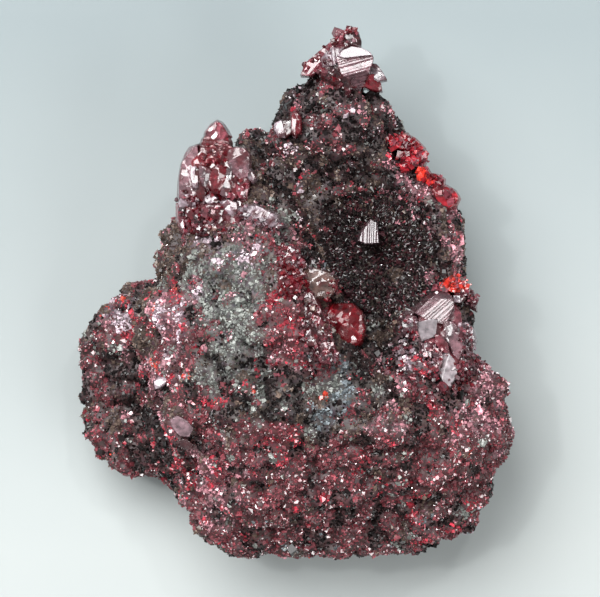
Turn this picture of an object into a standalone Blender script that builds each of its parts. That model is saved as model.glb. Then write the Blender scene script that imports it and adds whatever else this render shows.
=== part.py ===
"""A miniature cinnabar specimen lying on its trimmed back.

The dark drusy rock is one solid, and each group of red cinnabar crystals is a solid of its own,
rooted in a socket in the rock. A crust of tiny crystals lines the hollow in the rock's upper half.

Millimetres are used throughout, and MM turns them into Blender's metres. +Z is up, +Y runs from
the rounded end of the rock to its summit crystal, and the origin is on the flat face it rests on.
"""

import math

import bmesh
import bpy
import numpy as np
from mathutils import Matrix, Vector

MM = 0.001

# --- The rock, in millimetres -------------------------------------------------------------------

CENTRE_X, CENTRE_Y = 0.6, -3.7  # the point that the outline's bearings are taken from
GIRTH_Z = 7.5  # how high above the table the rock is widest
CREST_Z = 12.0  # height of the upper face before its swells and hollows are added
UNDERCUT_Z = -0.9  # how far the raw underside reaches below the trimmed face
UNDERSIDE_REACH = 14.6  # the rock's half width low down, where the outline's notches have faded
SLANT = 0.45  # radians by which the notches lean over on their way down
ROUNDNESS = 0.74  # exponent of the cross-section: 1 is an ellipse, 0 a box
GRID_STEPS = 56  # cells along each side of the cube that is blown up into the rock
ROCK_SHARE_OF_FACES = 0.105  # share of those faces that is left once flat stretches are merged

# The rock's outline seen from above: (bearing in degrees, anticlockwise from +X; reach in mm).
OUTLINE = [
    (0, 12.1), (8, 12.5), (20, 12.4), (27, 12.8), (35, 14.3), (45, 15.3), (55, 15.9), (63, 17.0),
    (70, 18.4), (76, 19.8), (81, 20.5), (86, 20.3), (92, 19.4), (96, 17.6), (101, 16.4), (106, 16.6),
    (113, 15.2), (122, 13.7), (132, 13.4), (142, 13.5), (150, 12.8), (155, 12.1), (160, 12.5),
    (165, 13.6), (169, 15.5), (175, 16.6), (185, 17.1), (197, 17.7), (210, 17.5), (217, 16.6),
    (224, 14.5), (231, 14.9), (240, 16.0), (250, 16.9), (258, 16.4), (268, 15.6), (280, 15.9),
    (292, 16.8), (302, 17.9), (311, 18.7), (318, 17.9), (326, 17.5), (335, 17.1), (343, 15.9),
    (350, 15.0), (355, 13.2),
]

# Swells and hollows of the upper face: (x, y, half width, half length, turn in degrees, rise,
# steepness: 1 is a soft hill, 3 a table with steep sides).
UPPER_RELIEF = {
    "main_bulge": (-1.5, -7.6, 9.5, 9.0, 0, 4.6, 1.2),
    "grey_crest": (-3.4, -0.4, 4.6, 5.8, 15, 2.0, 1.0),
    "right_swell": (10.8, -7.4, 5.2, 6.0, 0, 2.6, 1.2),
    "left_shoulder": (-8.2, 3.6, 4.2, 4.2, 0, 1.6, 1.0),
    "cluster_seat": (-5.2, 6.6, 3.8, 2.8, 0, 2.6, 1.2),
    "left_lobe": (-15.0, -7.6, 5.0, 9.5, 6, -6.6, 2.2),
    "hollow": (6.3, 2.0, 4.6, 5.6, 8, -6.4, 2.0),
    "upper_hollow": (3.2, 7.8, 5.6, 3.4, 20, -2.6, 1.3),
    "right_rim": (12.2, 4.6, 2.4, 5.0, 10, 2.8, 1.3),
    "right_bank": (10.6, -1.8, 3.4, 3.2, 0, 2.6, 1.2),
    "spire": (3.0, 14.2, 3.4, 5.2, 0, 2.4, 1.2),
    "saddle": (-2.2, 10.4, 2.6, 2.4, 0, -0.8, 1.0),
    "crystal_bank": (0.9, -0.6, 2.4, 4.4, 10, 1.6, 1.5),
    "pink_nodule": (7.0, -9.5, 1.6, 1.6, 0, 1.1, 2.0),
    "dark_gully": (8.4, -6.6, 3.0, 1.1, -24, -1.6, 1.2),
    "left_ridge": (-9.3, -10.2, 1.1, 4.4, 36, 1.4, 1.0),
    "ridge_gully": (-6.6, -11.0, 1.0, 3.6, 36, -0.9, 1.0),
    "shoulder_ledge": (-10.4, -1.2, 2.6, 1.2, 40, 1.1, 1.4),
    "grey_dip": (2.2, -7.6, 1.7, 2.2, 0, -0.9, 1.3),
    "right_ledge": (12.6, -12.4, 3.6, 1.3, 34, 0.9, 1.4),
    "lower_pit": (0.6, -12.6, 1.8, 1.0, 12, -1.0, 1.4),
    "lower_ledge": (-2.0, -15.6, 6.5, 1.4, -4, 0.9, 1.5),
    "lower_step": (3.0, -18.2, 14.0, 2.2, 8, -1.8, 1.4),
}

# Where the widest level dips or rises, and where the underside is hollowed, in the same terms.
GIRTH_RELIEF = {
    "left_lobe": (-15.0, -7.0, 6.5, 9.0, 0, -3.2, 1.0),
    "spire": (3.0, 16.0, 6.0, 6.0, 0, 2.2, 1.0),
}
UNDER_RELIEF = {
    "spire": (3.2, 17.0, 7.0, 8.0, 0, 7.0, 1.0),
    "left_lobe": (-15.0, -6.0, 5.0, 8.0, 0, 1.6, 1.0),
    "lower_edge": (4.0, -19.5, 12.0, 5.0, 0, 3.0, 1.0),
}

# Lumps all over the rock: (size of a lump, how far it stands out), both in mm.
LUMPS = [(4.6, 1.2), (2.3, 1.1), (1.3, 0.75)]

# --- The crystals, in millimetres ---------------------------------------------------------------

GAP = 0.3  # clearance between a crystal's root and its socket
BLOCK = 14.0  # side of the block that a crystal is cut from
ROOT_SLANT = 0.7  # how much a root's end rises for each millimetre outward
CRUST_X, CRUST_Y = 6.35, 2.9  # middle of the crust that lines the hollow
CRUST_HALF_WIDTH, CRUST_HALF_LENGTH = 3.4, 4.3
CRUST_DEPTH = 1.1
CRUST_SPIKE = 0.9  # how far its crystals stand out
CRUST_CELLS = 14  # crystals across it

# A crystal is (its outline seen from above, height of its middle, depth of its root below that, how
# far its walls lean in for each millimetre up, its top facets). A facet is (lean to +X, lean to +Y,
# height over the middle).
CRYSTALS = {
    "summit_crystal": {
        "bed": (
            [(2.05, 17.3), (2.7, 18.2), (3.7, 18.8), (4.6, 18.7), (5.55, 17.6), (6.2, 16.4),
             (5.5, 15.7), (4.15, 15.5), (2.85, 16.25)],
            10.9, 1.8, 0.05, [(0.13, 0.15, 0.8)],
        ),
        "main": (
            [(2.95, 17.75), (3.3, 18.25), (4.05, 18.55), (4.9, 18.4), (5.65, 17.95), (5.8, 17.35),
             (5.35, 16.55), (5.05, 15.65), (4.5, 15.2), (4.05, 15.5), (3.25, 16.7)],
            11.6, 2.4, 0.06, [(-0.18, 0.26, 1.31), (-0.06, -0.18, 1.05), (0.1, -0.9, 1.6)],
        ),
        "striated": (
            [(1.75, 17.6), (2.2, 18.2), (2.7, 18.55), (3.4, 18.5), (3.25, 17.9), (2.85, 17.2),
             (1.95, 17.05)],
            11.4, 2.2, 0.1, [(-0.3, 0.12, 0.9)],
        ),
        "knob": (
            [(3.45, 19.4), (4, 19.75), (4.6, 19.7), (4.8, 19), (4.75, 18.5), (4, 18.25),
             (3.55, 18.5)],
            11.2, 2, 0.1, [(0.2, 0.2, 0.9), (-0.5, 0.3, 0.9), (0.1, -0.6, 1)],
        ),
        "under": (
            [(1.6, 16.85), (2.05, 17.15), (2.7, 17.05), (3.3, 16.6), (3.9, 16.15), (4.15, 15.4),
             (3.75, 15.2), (2.5, 15.85), (1.75, 16.3)],
            11.8, 1.6, 0.07, [(-0.1, -0.3, 0.9), (0.3, 0.3, 0.95)],
        ),
        "white": (
            [(5.4, 17.35), (5.9, 17.35), (6.35, 16.75), (6.7, 16.15), (6.05, 16), (5.5, 16.45)],
            11, 2.2, 0.1, [(-0.18, 0.23, 0.8), (0.5, -0.3, 1.1)],
        ),
        "wedge": (
            [(5.25, 16.45), (5.75, 16.55), (6.25, 15.85), (6.35, 15.35), (5.65, 15.4),
             (5.1, 15.65)],
            11, 2, 0.1, [(-0.1, -0.5, 0.9), (0.5, 0.1, 0.9)],
        ),
        "ridge": (
            [(0.3, 16.55), (0.7, 17.45), (2.2, 18.7), (3.75, 20), (4.35, 20.1), (4.5, 19.6),
             (2.2, 17.3), (1.2, 16.45)],
            10.9, 1.3, 0.1, [(-0.3, 0.3, 0.8), (0.4, -0.3, 0.8)],
        ),
    },
    "left_crystal_cluster": {
        "bed": (
            [(-7.15, 10.8), (-6.5, 11.55), (-5.35, 11.55), (-4.6, 10.8), (-3.75, 10.05),
             (-3.55, 8.55), (-3.75, 6.9), (-4.75, 5.85), (-6.7, 5.85), (-7.9, 6.75), (-8.35, 8.25),
             (-8.05, 9.9)],
            12.3, 1.8, 0.05, [(-0.19, 0.08, 0.8)],
        ),
        "finger": (
            [(-6.85, 12), (-7.15, 11.4), (-7.3, 10.8), (-7.25, 10.15), (-6.7, 9.75), (-5.65, 9.75),
             (-5.05, 10.2), (-4.95, 10.95), (-5.1, 11.8), (-5.8, 12.15)],
            12.6, 2, 0.09, [(-0.35, 0.05, 1.05), (0.3, -0.1, 1.1), (-0.1, -0.5, 1.35)],
        ),
        "tip": (
            [(-5.95, 13), (-6.4, 12.7), (-6.8, 12.15), (-6.85, 11.7), (-6.35, 11.5), (-5.55, 11.55),
             (-5.1, 11.95), (-5.35, 12.45), (-5.65, 12.85)],
            12.9, 1.6, 0.1, [(-0.18, 0.23, 0.8), (0.35, 0.3, 0.95)],
        ),
        "blade": (
            [(-7.45, 11.25), (-8, 11.05), (-8.35, 10.5), (-8.65, 9.7), (-8.8, 8.7), (-8.8, 7.2),
             (-8.2, 6.8), (-7.6, 7.2), (-7.3, 8.1), (-7.25, 9.45)],
            12, 2.2, 0.07, [(-0.4, -0.05, 1.05), (0.25, 0.1, 1)],
        ),
        "prism": (
            [(-5.1, 10.8), (-4.6, 11.05), (-3.85, 10.95), (-3.55, 10.5), (-3.55, 9.6), (-3.7, 8.85),
             (-4.3, 8.65), (-4.9, 9.3), (-5.2, 10.05)],
            13, 2.2, 0.05, [(-0.18, 0.3, 1.35), (0.05, -0.35, 1.1)],
        ),
        "foot": (
            [(-4.45, 8.8), (-3.7, 8.8), (-3.55, 8.1), (-3.75, 7.2), (-4.35, 7.2), (-4.6, 7.95)],
            12.7, 2, 0.1, [(0.3, -0.1, 1), (-0.4, -0.1, 1.05)],
        ),
        "v_left": (
            [(-7.3, 9.7), (-6.7, 9.6), (-6.35, 9.3), (-6.35, 8.4), (-6.55, 7.8), (-7, 8.1),
             (-7.3, 8.85)],
            13.1, 2, 0.1, [(0.35, -0.25, 1), (-0.4, 0, 1.1)],
        ),
        "v_right": (
            [(-6.4, 9.45), (-5.9, 9.75), (-5.2, 9.6), (-5.25, 8.55), (-5.55, 7.55), (-6.25, 7.5),
             (-6.65, 8.25)],
            13.2, 2, 0.1, [(-0.4, -0.1, 1.1), (0.45, -0.15, 1.15)],
        ),
        "band": (
            [(-5.35, 9.45), (-4.9, 9.6), (-4.75, 8.7), (-4.9, 7.8), (-5.4, 7.35), (-5.75, 7.5)],
            13.2, 1.8, 0.07, [(-0.15, 0.15, 0.9), (0.6, 0, 1.1)],
        ),
        "lavender": (
            [(-5.75, 6.95), (-5.05, 7.1), (-4.5, 6.9), (-4.35, 6.3), (-4.8, 5.85), (-5.35, 6.15)],
            14.1, 1.4, 0.1, [(-0.18, 0.23, 0.7), (-0.05, -0.4, 0.85)],
        ),
        "apron": (
            [(-7.3, 6.65), (-6.25, 6.95), (-5.2, 6.8), (-4.3, 6.2), (-4.15, 5.55), (-4.8, 5),
             (-6.25, 4.95), (-7.1, 5.45)],
            13.7, 2.2, 0.1, [(-0.1, -0.3, 0.95), (0.2, -0.2, 1)],
        ),
        "cheek": (
            [(-8.95, 6.8), (-8.6, 6.75), (-8.35, 6), (-8.3, 4.7), (-8.6, 4.85), (-8.9, 5.7)],
            11.9, 1.8, 0.1, [(-0.4, -0.1, 1)],
        ),
        "heel": (
            [(-8.5, 6.9), (-7.9, 6.8), (-7, 6.15), (-6.4, 5.3), (-6.35, 4.5), (-7.1, 4.4),
             (-8.2, 4.7)],
            12.4, 2, 0.09, [(-0.2, -0.35, 1), (0.3, 0.1, 1.05)],
        ),
        "spike": (
            [(-4.6, 6.45), (-3.1, 6.75), (-2.2, 6.35), (-1.45, 5.85), (-1.05, 5.25), (-1.9, 5.1),
             (-3.1, 5.45), (-4.35, 5.85)],
            14, 2, 0.1, [(-0.18, 0.23, 0.75), (0.1, -0.6, 1)],
        ),
    },
    "notch_crystal": {
        "white": (
            [(-1.65, 12.85), (-1.2, 13.05), (-0.7, 12.25), (-0.9, 11.85), (-1.35, 11.85),
             (-1.65, 12.4)],
            11.3, 2, 0.05, [(-0.18, 0.23, 0.8), (0.1, -0.8, 1.1)],
        ),
        "red": (
            [(-0.4, 13.65), (0, 13.8), (0.3, 13.3), (0.3, 12.25), (-0.1, 11.85), (-0.45, 12.15)],
            12.2, 2, 0.1, [(-0.4, 0.1, 0.8), (0.4, 0, 0.8)],
        ),
    },
    "rim_crystal_cluster": {
        "pink_left": (
            [(7.1, 11.7), (7.55, 12), (8.3, 12.1), (8.65, 11.55), (8.35, 10.95), (7.45, 11.05)],
            9.6, 2.2, 0.1, [(-0.2, 0.2, 0.7), (0.3, -0.2, 0.75)],
        ),
        "pink_right": (
            [(8.35, 11.95), (8.95, 11.65), (9.5, 11.05), (9.65, 10.2), (9.25, 9.6), (8.6, 10.35)],
            9.2, 2.8, 0.1, [(-0.2, 0.2, 0.7), (0.4, -0.1, 0.75)],
        ),
        "dark": (
            [(7.75, 10.8), (8.5, 10.9), (8.9, 10.2), (8.65, 9.55), (7.9, 9.7)],
            9.3, 1.8, 0.1, [(-0.2, -0.2, 0.7), (0.2, 0.3, 0.75)],
        ),
        "red": (
            [(9.2, 9.6), (9.8, 9.55), (10.15, 8.85), (9.85, 8.45), (9.35, 8.95)],
            9.4, 2, 0.1, [(-0.2, 0.2, 0.7), (0.4, -0.1, 0.75)],
        ),
        "link": (
            [(10, 8.95), (10.6, 9), (11.05, 8.7), (11, 8.15), (10.3, 8)],
            9.5, 2, 0.1, [(-0.3, 0.3, 0.6), (0.4, 0.2, 0.65), (0, -0.4, 0.7)],
        ),
        "gem": (
            [(10.15, 7.95), (10.6, 8.25), (11.3, 8.15), (11.9, 7.8), (12.2, 7.25), (12, 6.8),
             (11.45, 6.6), (10.9, 6.8), (10.45, 7.25)],
            9.6, 2.2, 0.1, [(-0.3, 0.35, 0.8), (0.3, 0.3, 0.85), (0.1, -0.35, 0.85)],
        ),
    },
    "centre_crystal_cluster": {
        "crimson": (
            [(-1.45, 3.3), (-1.05, 3.6), (-0.55, 3.5), (0.1, 3.05), (0.55, 2.5), (0.45, 1.75),
             (-0.1, 1.4), (-0.85, 1.55), (-1.35, 2.15)],
            15.3, 2, 0.1, [(-0.19, 0.23, 0.9), (0.4, 0.2, 0.95), (-0.1, -0.4, 1)],
        ),
        "crimson_low": (
            [(-1.3, 1.45), (-0.4, 1.6), (0.55, 1.55), (0.55, 0.85), (0.1, 0.2), (-0.75, -0.2),
             (-1.35, 0.1)],
            16.3, 1.8, 0.1, [(0.35, 0.1, 0.8), (-0.3, -0.3, 0.85)],
        ),
        "prism": (
            [(0.45, 1.85), (1.15, 2.05), (1.95, 1.85), (2.65, 1.55), (2.85, 0.85), (2.7, 0.2),
             (2.25, -0.2), (1.45, -0.25), (0.9, 0.1), (0.55, 0.85)],
            14.7, 2.4, 0.04, [(0.1, -0.1, 1.3), (-0.22, 0.45, 1.63)],
        ),
        "bridge": (
            [(0.25, 0.5), (1.05, 0.35), (1.6, -0.55), (1.6, -1.55), (0.85, -2), (0.3, -1.25)],
            16.1, 1.8, 0.1, [(-0.2, 0.2, 0.7), (0.4, -0.2, 0.75)],
        ),
        "blade": (
            [(1.3, -0.8), (1.65, -0.85), (2.1, -1.85), (2.35, -2.9), (2.1, -3.5), (1.5, -3.15),
             (1.05, -2.15), (1.05, -1.3)],
            16.2, 1.8, 0.05, [(-0.4, 0.2, 0.8), (0.35, 0, 0.8), (0, -0.4, 1)],
        ),
        "dark": (
            [(0.4, -1.7), (1.05, -1.7), (1.5, -2.6), (1.65, -3.65), (0.9, -3.9), (0.3, -2.9)],
            16.8, 1.6, 0.1, [(-0.2, -0.1, 0.8), (0.3, 0.2, 0.8)],
        ),
        "rosy": (
            [(1.05, -3.75), (1.8, -3.35), (2.7, -3.6), (3, -4.4), (2.85, -5.1), (1.8, -5),
             (1.15, -4.4)],
            16.5, 1.8, 0.1, [(-0.2, 0.2, 0.8), (0.2, -0.4, 0.85)],
        ),
    },
    "gem_crystal": {
        "upper": (
            [(2.2, -1.15), (2.7, -0.7), (3.45, -0.55), (4, -0.8), (4.35, -1.4), (4.15, -2.2),
             (3.45, -2.65), (2.8, -2.65), (2.25, -2.2)],
            13, 1.6, 0.12, [(-0.15, 0.2, 1.1), (-0.6, 0.2, 1.3), (0.5, 0.4, 1.3), (0.1, -0.5, 1.25)],
        ),
        "lower": (
            [(3.25, -2), (4, -1.45), (4.6, -1.7), (4.95, -2.45), (4.95, -3.15), (4.5, -3.65),
             (3.9, -3.9), (3.4, -3.5), (3.1, -2.75)],
            12.9, 1.6, 0.12, [(0.2, 0.1, 1.1), (0.6, -0.2, 1.25), (-0.3, -0.5, 1.25), (-0.5, 0.3, 1.2)],
        ),
    },
    "right_crystal_cluster": {
        "bed": (
            [(9.1, -1.7), (10.15, -0.5), (11.35, -0.05), (12.15, -1.25), (12.45, -3.35),
             (12.05, -5), (11.45, -5.9), (10.75, -5.45), (9.55, -3.95)],
            12.6, 2, 0.05, [(0.34, 0.27, 0.7)],
        ),
        "ridged": (
            [(8.75, -1.3), (9.35, -0.65), (10.1, -0.05), (11.05, 0.4), (11.7, -0.2), (11.75, -1.15),
             (11.45, -1.85), (10.75, -2.15), (9.7, -1.9)],
            13.2, 2.6, 0.07, [(-0.18, 0.23, 1), (0.1, 0.75, 1.25), (0.5, -0.1, 1.3)],
        ),
        "flat": (
            [(8.95, -1.9), (10, -1.7), (11.2, -1.85), (11.55, -2.35), (11.2, -2.9), (10.25, -3.45),
             (9.35, -3.5), (9.05, -2.75)],
            13.8, 2.8, 0.05, [(0, -0.03, 0.95), (0.2, -0.8, 1.4)],
        ),
        "stripes": (
            [(9.1, -3.5), (10.25, -3.45), (10.45, -4.1), (9.95, -4.8), (9.4, -4.2)],
            14.2, 2, 0.1, [(-0.1, -0.35, 0.85)],
        ),
        "red": (
            [(10.25, -2.9), (10.75, -3), (11.2, -3.6), (11.35, -4.35), (10.75, -4.2), (10.3, -3.6)],
            14, 2, 0.05, [(-0.3, -0.2, 0.9)],
        ),
        "rosy": (
            [(11.05, -2.8), (11.75, -2.9), (12.2, -3.5), (12.45, -4.4), (12.05, -5.1),
             (11.45, -4.4)],
            13.2, 2.8, 0.1, [(0.25, -0.15, 0.9), (-0.3, 0.1, 0.95)],
        ),
        "wedge": (
            [(10.75, -4.65), (11.2, -4.5), (11.75, -5.25), (11.85, -6.05), (11.55, -6.65),
             (11.05, -6.65), (10.7, -6)],
            13.9, 2, 0.07, [(0.02, -0.05, 0.85), (-0.5, 0.1, 0.95)],
        ),
        "column": (
            [(10.25, -4.25), (10.75, -4.1), (10.9, -4.7), (10.6, -5.45), (10.25, -5.4),
             (10.1, -4.85)],
            14.3, 2, 0.1, [(-0.18, 0.23, 0.8), (-0.5, -0.2, 0.9)],
        ),
        "left_gem": (
            [(7.75, -2), (8.2, -1.45), (8.75, -1.4), (9.2, -1.9), (9.25, -2.9), (8.45, -3.3),
             (7.85, -2.9)],
            12.3, 2.2, 0.12, [(-0.18, 0.22, 0.9), (0.4, 0.3, 1), (-0.2, -0.5, 1), (0.4, -0.4, 1.05)],
        ),
        "right_column": (
            [(12.3, -2.05), (12.75, -2.05), (13.2, -2.65), (13.4, -3.45), (13.1, -4.1),
             (12.6, -4.35), (12.35, -3.65)],
            11.4, 2.6, 0.07, [(-0.18, 0.23, 1), (0.5, -0.1, 1.1)],
        ),
        "cap": (
            [(10.85, 0.4), (11.15, 1), (11.7, 1.3), (12.35, 1.15), (12.8, 0.65), (12.6, 0.2),
             (11.7, 0.2)],
            12.3, 2.2, 0.1, [(-0.2, 0.3, 0.8), (0.3, -0.1, 0.85)],
        ),
        "cap_side": (
            [(12.6, 0.55), (13.05, 0.35), (13.4, -0.25), (13.4, -1), (13.1, -0.8), (12.75, -0.1)],
            11.2, 1.6, 0.09, [(0.3, 0.1, 0.8)],
        ),
    },
    "left_flake": {
        "flat": (
            [(-9.4, -9.25), (-8.9, -8.95), (-8.2, -9.3), (-7.7, -9.9), (-8.05, -10.5),
             (-8.65, -10.45), (-9.2, -9.9)],
            14, 1.4, 0.05, [(-0.03, 0.03, 0.7)],
        ),
    },
    "left_spark_crystal": {
        "spark": (
            [(-10.7, -6.5), (-10.3, -6.15), (-9.8, -6.05), (-9.7, -6.5), (-10.1, -6.9),
             (-10.6, -7.05)],
            11.2, 1.4, 0.1, [(-0.18, 0.23, 0.6), (0.3, -0.4, 0.75)],
        ),
    },
}

# The striated prism that stands in the hollow is fused to the hollow's crust.
HOLLOW_PRISM = (
    [(4.75, 4.95), (5.2, 5.3), (5.65, 5.6), (6.05, 5.3), (6.1, 4.2), (5.65, 3.9), (5.1, 3.95),
     (4.65, 4.2)],
    8, 1.8, 0.05, [(-0.18, 0.23, 0.9), (-0.7, 0.1, 1.1)],
)

MATERIALS = {
    "rock": ((0.075, 0.055, 0.055), 0.62),
    "cinnabar": ((0.26, 0.018, 0.024), 0.20),
    "hollow_druse": ((0.035, 0.022, 0.024), 0.28),
}


# --- Surface functions --------------------------------------------------------------------------


def lattice_value(cells, seed):
    """A fixed value from 0 to 1 for each whole-number cell (N, 3), from an integer hash."""
    mixed = cells.astype(np.int64) @ np.array([73856093, 19349663, 83492791]) + seed * 2654435761
    mixed = (mixed ^ (mixed >> 13)) * 1274126177 & 0x7FFFFFFF
    return ((mixed ^ (mixed >> 16)) & 0xFFFFF) / float(0x100000)


def lump_height(points, size, seed):
    """Rounded lumps: 1 in the middle of a cell, falling with the square of the distance to the
    nearest scattered cell centre, and 0 in the creases between cells."""
    scaled = points / size
    base = np.floor(scaled)
    nearest = np.full(len(points), 9.0)
    for shift in np.ndindex(3, 3, 3):
        cell = base + np.array(shift) - 1
        centre = cell + np.stack([lattice_value(cell, seed + k) for k in range(3)], axis=1)
        nearest = np.minimum(nearest, ((scaled - centre) ** 2).sum(axis=1))
    return 1.0 - np.minimum(nearest, 1.0)


def relief(x, y, features):
    """The sum of the features' hills: rise * exp(-(distance squared) ** steepness)."""
    total = np.zeros_like(x)
    for centre_x, centre_y, half_x, half_y, turn, rise, steepness in features.values():
        cos, sin = math.cos(math.radians(turn)), math.sin(math.radians(turn))
        along = ((x - centre_x) * cos + (y - centre_y) * sin) / half_x
        across = ((y - centre_y) * cos - (x - centre_x) * sin) / half_y
        total += rise * np.exp(-((along**2 + across**2) ** steepness))
    return total


def reach(bearing):
    """The outline's reach at each bearing in radians: a smooth closed curve through OUTLINE."""
    knots = np.radians([b for b, _ in OUTLINE])
    radii = np.array([r for _, r in OUTLINE])
    count = len(OUTLINE)
    bearing = np.mod(bearing, 2 * math.pi)
    i = np.searchsorted(knots, bearing, side="right") - 1
    j = (i + 1) % count
    span = np.mod(knots[j] - knots[i], 2 * math.pi)
    t = (bearing - knots[i]) / span
    before, after = radii[(i - 1) % count], radii[(i + 2) % count]
    leave, arrive = (radii[j] - before) / 2, (after - radii[i]) / 2
    return (
        (2 * t**3 - 3 * t**2 + 1) * radii[i]
        + (t**3 - 2 * t**2 + t) * leave
        + (3 * t**2 - 2 * t**3) * radii[j]
        + (t**3 - t**2) * arrive
    )


def rock_points(directions):
    """The rock's bare surface in each unit direction: a superellipse from the outline up to the
    upper face and down to the underside."""
    x, y, z = directions.T
    bearing = np.arctan2(y, x)
    below = np.clip(-z, 0, 1) ** 1.5  # the outline's notches fade out towards the underside
    radius = reach(bearing + SLANT * below) * (1 - below) + UNDERSIDE_REACH * below
    out = np.hypot(x, y) ** ROUNDNESS * radius
    rock_x = CENTRE_X + out * np.cos(bearing)
    rock_y = CENTRE_Y + out * np.sin(bearing)
    girth = GIRTH_Z + relief(rock_x, rock_y, GIRTH_RELIEF)
    crest = CREST_Z + relief(rock_x, rock_y, UPPER_RELIEF)
    under = UNDERCUT_Z + relief(rock_x, rock_y, UNDER_RELIEF)
    rise = np.abs(z) ** ROUNDNESS
    rock_z = np.where(z > 0, girth + rise * (crest - girth), girth - rise * (girth - under))
    return np.stack([rock_x, rock_y, rock_z], axis=1)


def lumpy(points, directions):
    """The points with the rock's lumps raised along their directions."""
    raised = sum(
        depth * (lump_height(points, size, 11 + 3 * k) - 0.74)
        for k, (size, depth) in enumerate(LUMPS)
    )
    return points + directions * raised[:, None]


def face_height(x, y):
    """Height of the rock's upper face over each (x, y) inside the outline."""
    x, y = np.atleast_1d(np.asarray(x, float)), np.atleast_1d(np.asarray(y, float))
    across, along = x - CENTRE_X, y - CENTRE_Y
    share = np.minimum(np.hypot(across, along) / reach(np.arctan2(along, across)), 0.995)
    lift = np.sqrt(1 - share ** (2 / ROUNDNESS)) ** ROUNDNESS
    girth = GIRTH_Z + relief(x, y, GIRTH_RELIEF)
    return girth + lift * (CREST_Z + relief(x, y, UPPER_RELIEF) - girth)


# --- Building helpers ---------------------------------------------------------------------------


def material(name):
    colour, roughness = MATERIALS[name]
    made = bpy.data.materials.new(name)
    made.use_nodes = True
    shader = made.node_tree.nodes["Principled BSDF"]
    shader.inputs["Base Color"].default_value = (*colour, 1.0)
    shader.inputs["Roughness"].default_value = roughness
    made.diffuse_color = (*colour, 1.0)
    return made


def add_object(name, form, finish=None):
    """An object of its own from a bmesh in millimetres."""
    bmesh.ops.scale(form, vec=(MM, MM, MM), verts=form.verts)
    mesh = bpy.data.meshes.new(name)
    form.to_mesh(mesh)
    form.free()
    made = bpy.data.objects.new(name, mesh)
    bpy.context.scene.collection.objects.link(made)
    if finish:
        mesh.materials.append(finish)
    return made


def add_helper(name, form):
    """A cutter or a piece to be joined: an object that isn't part of the model itself."""
    helper = add_object(name, form)
    helper.hide_render = True
    helper.display_type = "WIRE"
    return helper


def combine(target, operation, helper):
    step = target.modifiers.new(helper.name, "BOOLEAN")
    step.operation = operation
    step.solver = "EXACT"
    step.object = helper


def crystal_form(crystal, grow=0.0):
    """A block cut by planes: a wall along each side of the outline, the top facets, and the end of
    the root, which is higher on the side away from the rock. Every plane is moved out by grow."""
    outline, height, root, slope, facets = crystal
    middle = Vector((*(sum(axis) / len(outline) for axis in zip(*outline)), height))
    planes = [(Vector((lean_x, lean_y, 1.0)), rise) for lean_x, lean_y, rise in facets]
    outward = ROOT_SLANT * (middle.xy - Vector((CENTRE_X, CENTRE_Y))).normalized()
    planes.append((Vector((*outward, -1.0)), root))
    for here, there in zip(outline, outline[1:] + outline[:1]):
        side = Vector((there[1] - here[1], here[0] - there[0], 0.0)).normalized()
        away = side.dot(Vector((*here, height)) - middle)
        sign = math.copysign(1.0, away)
        planes.append((Vector((sign * side.x, sign * side.y, slope)), abs(away)))
    form = bmesh.new()
    bmesh.ops.create_cube(form, size=BLOCK, matrix=Matrix.Translation(middle))
    for normal, distance in planes:
        out = normal.normalized()
        bmesh.ops.bisect_plane(
            form, geom=[*form.verts, *form.edges, *form.faces], plane_no=out, clear_outer=True,
            plane_co=middle + out * (distance / normal.length + grow),
        )
        bmesh.ops.holes_fill(form, edges=[edge for edge in form.edges if edge.is_boundary])
    bmesh.ops.recalc_face_normals(form, faces=form.faces)
    return form


# --- The rock -----------------------------------------------------------------------------------


def add_rock():
    """A cube's faces divided into a fine grid, each corner moved to the rock's surface in that
    direction, then thinned to the faces that the shape needs and sawn flat below."""
    form = bmesh.new()
    bmesh.ops.create_cube(form, size=2.0)
    bmesh.ops.subdivide_edges(form, edges=form.edges, cuts=GRID_STEPS - 1, use_grid_fill=True)
    cube = np.array([v.co for v in form.verts])
    even = np.tan(cube * math.pi / 4)  # makes the cells near a cube's edges as wide as the rest
    directions = even / np.linalg.norm(even, axis=1, keepdims=True)
    for vert, place in zip(form.verts, lumpy(rock_points(directions), directions)):
        vert.co = place
    bmesh.ops.triangulate(form, faces=form.faces)
    bmesh.ops.recalc_face_normals(form, faces=form.faces)
    rock = add_object("matrix_rock", form, material("rock"))
    thin = rock.modifiers.new("thin", "DECIMATE")
    thin.ratio = ROCK_SHARE_OF_FACES
    below = bmesh.new()
    bmesh.ops.create_cube(below, size=1.0)
    bmesh.ops.scale(below, vec=(60.0, 60.0, 10.0), verts=below.verts)
    bmesh.ops.translate(below, vec=(0.0, 0.0, -5.0), verts=below.verts)
    combine(rock, "DIFFERENCE", add_helper("sawn_away", below))
    return rock


# --- The hollow's crust -------------------------------------------------------------------------


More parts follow.
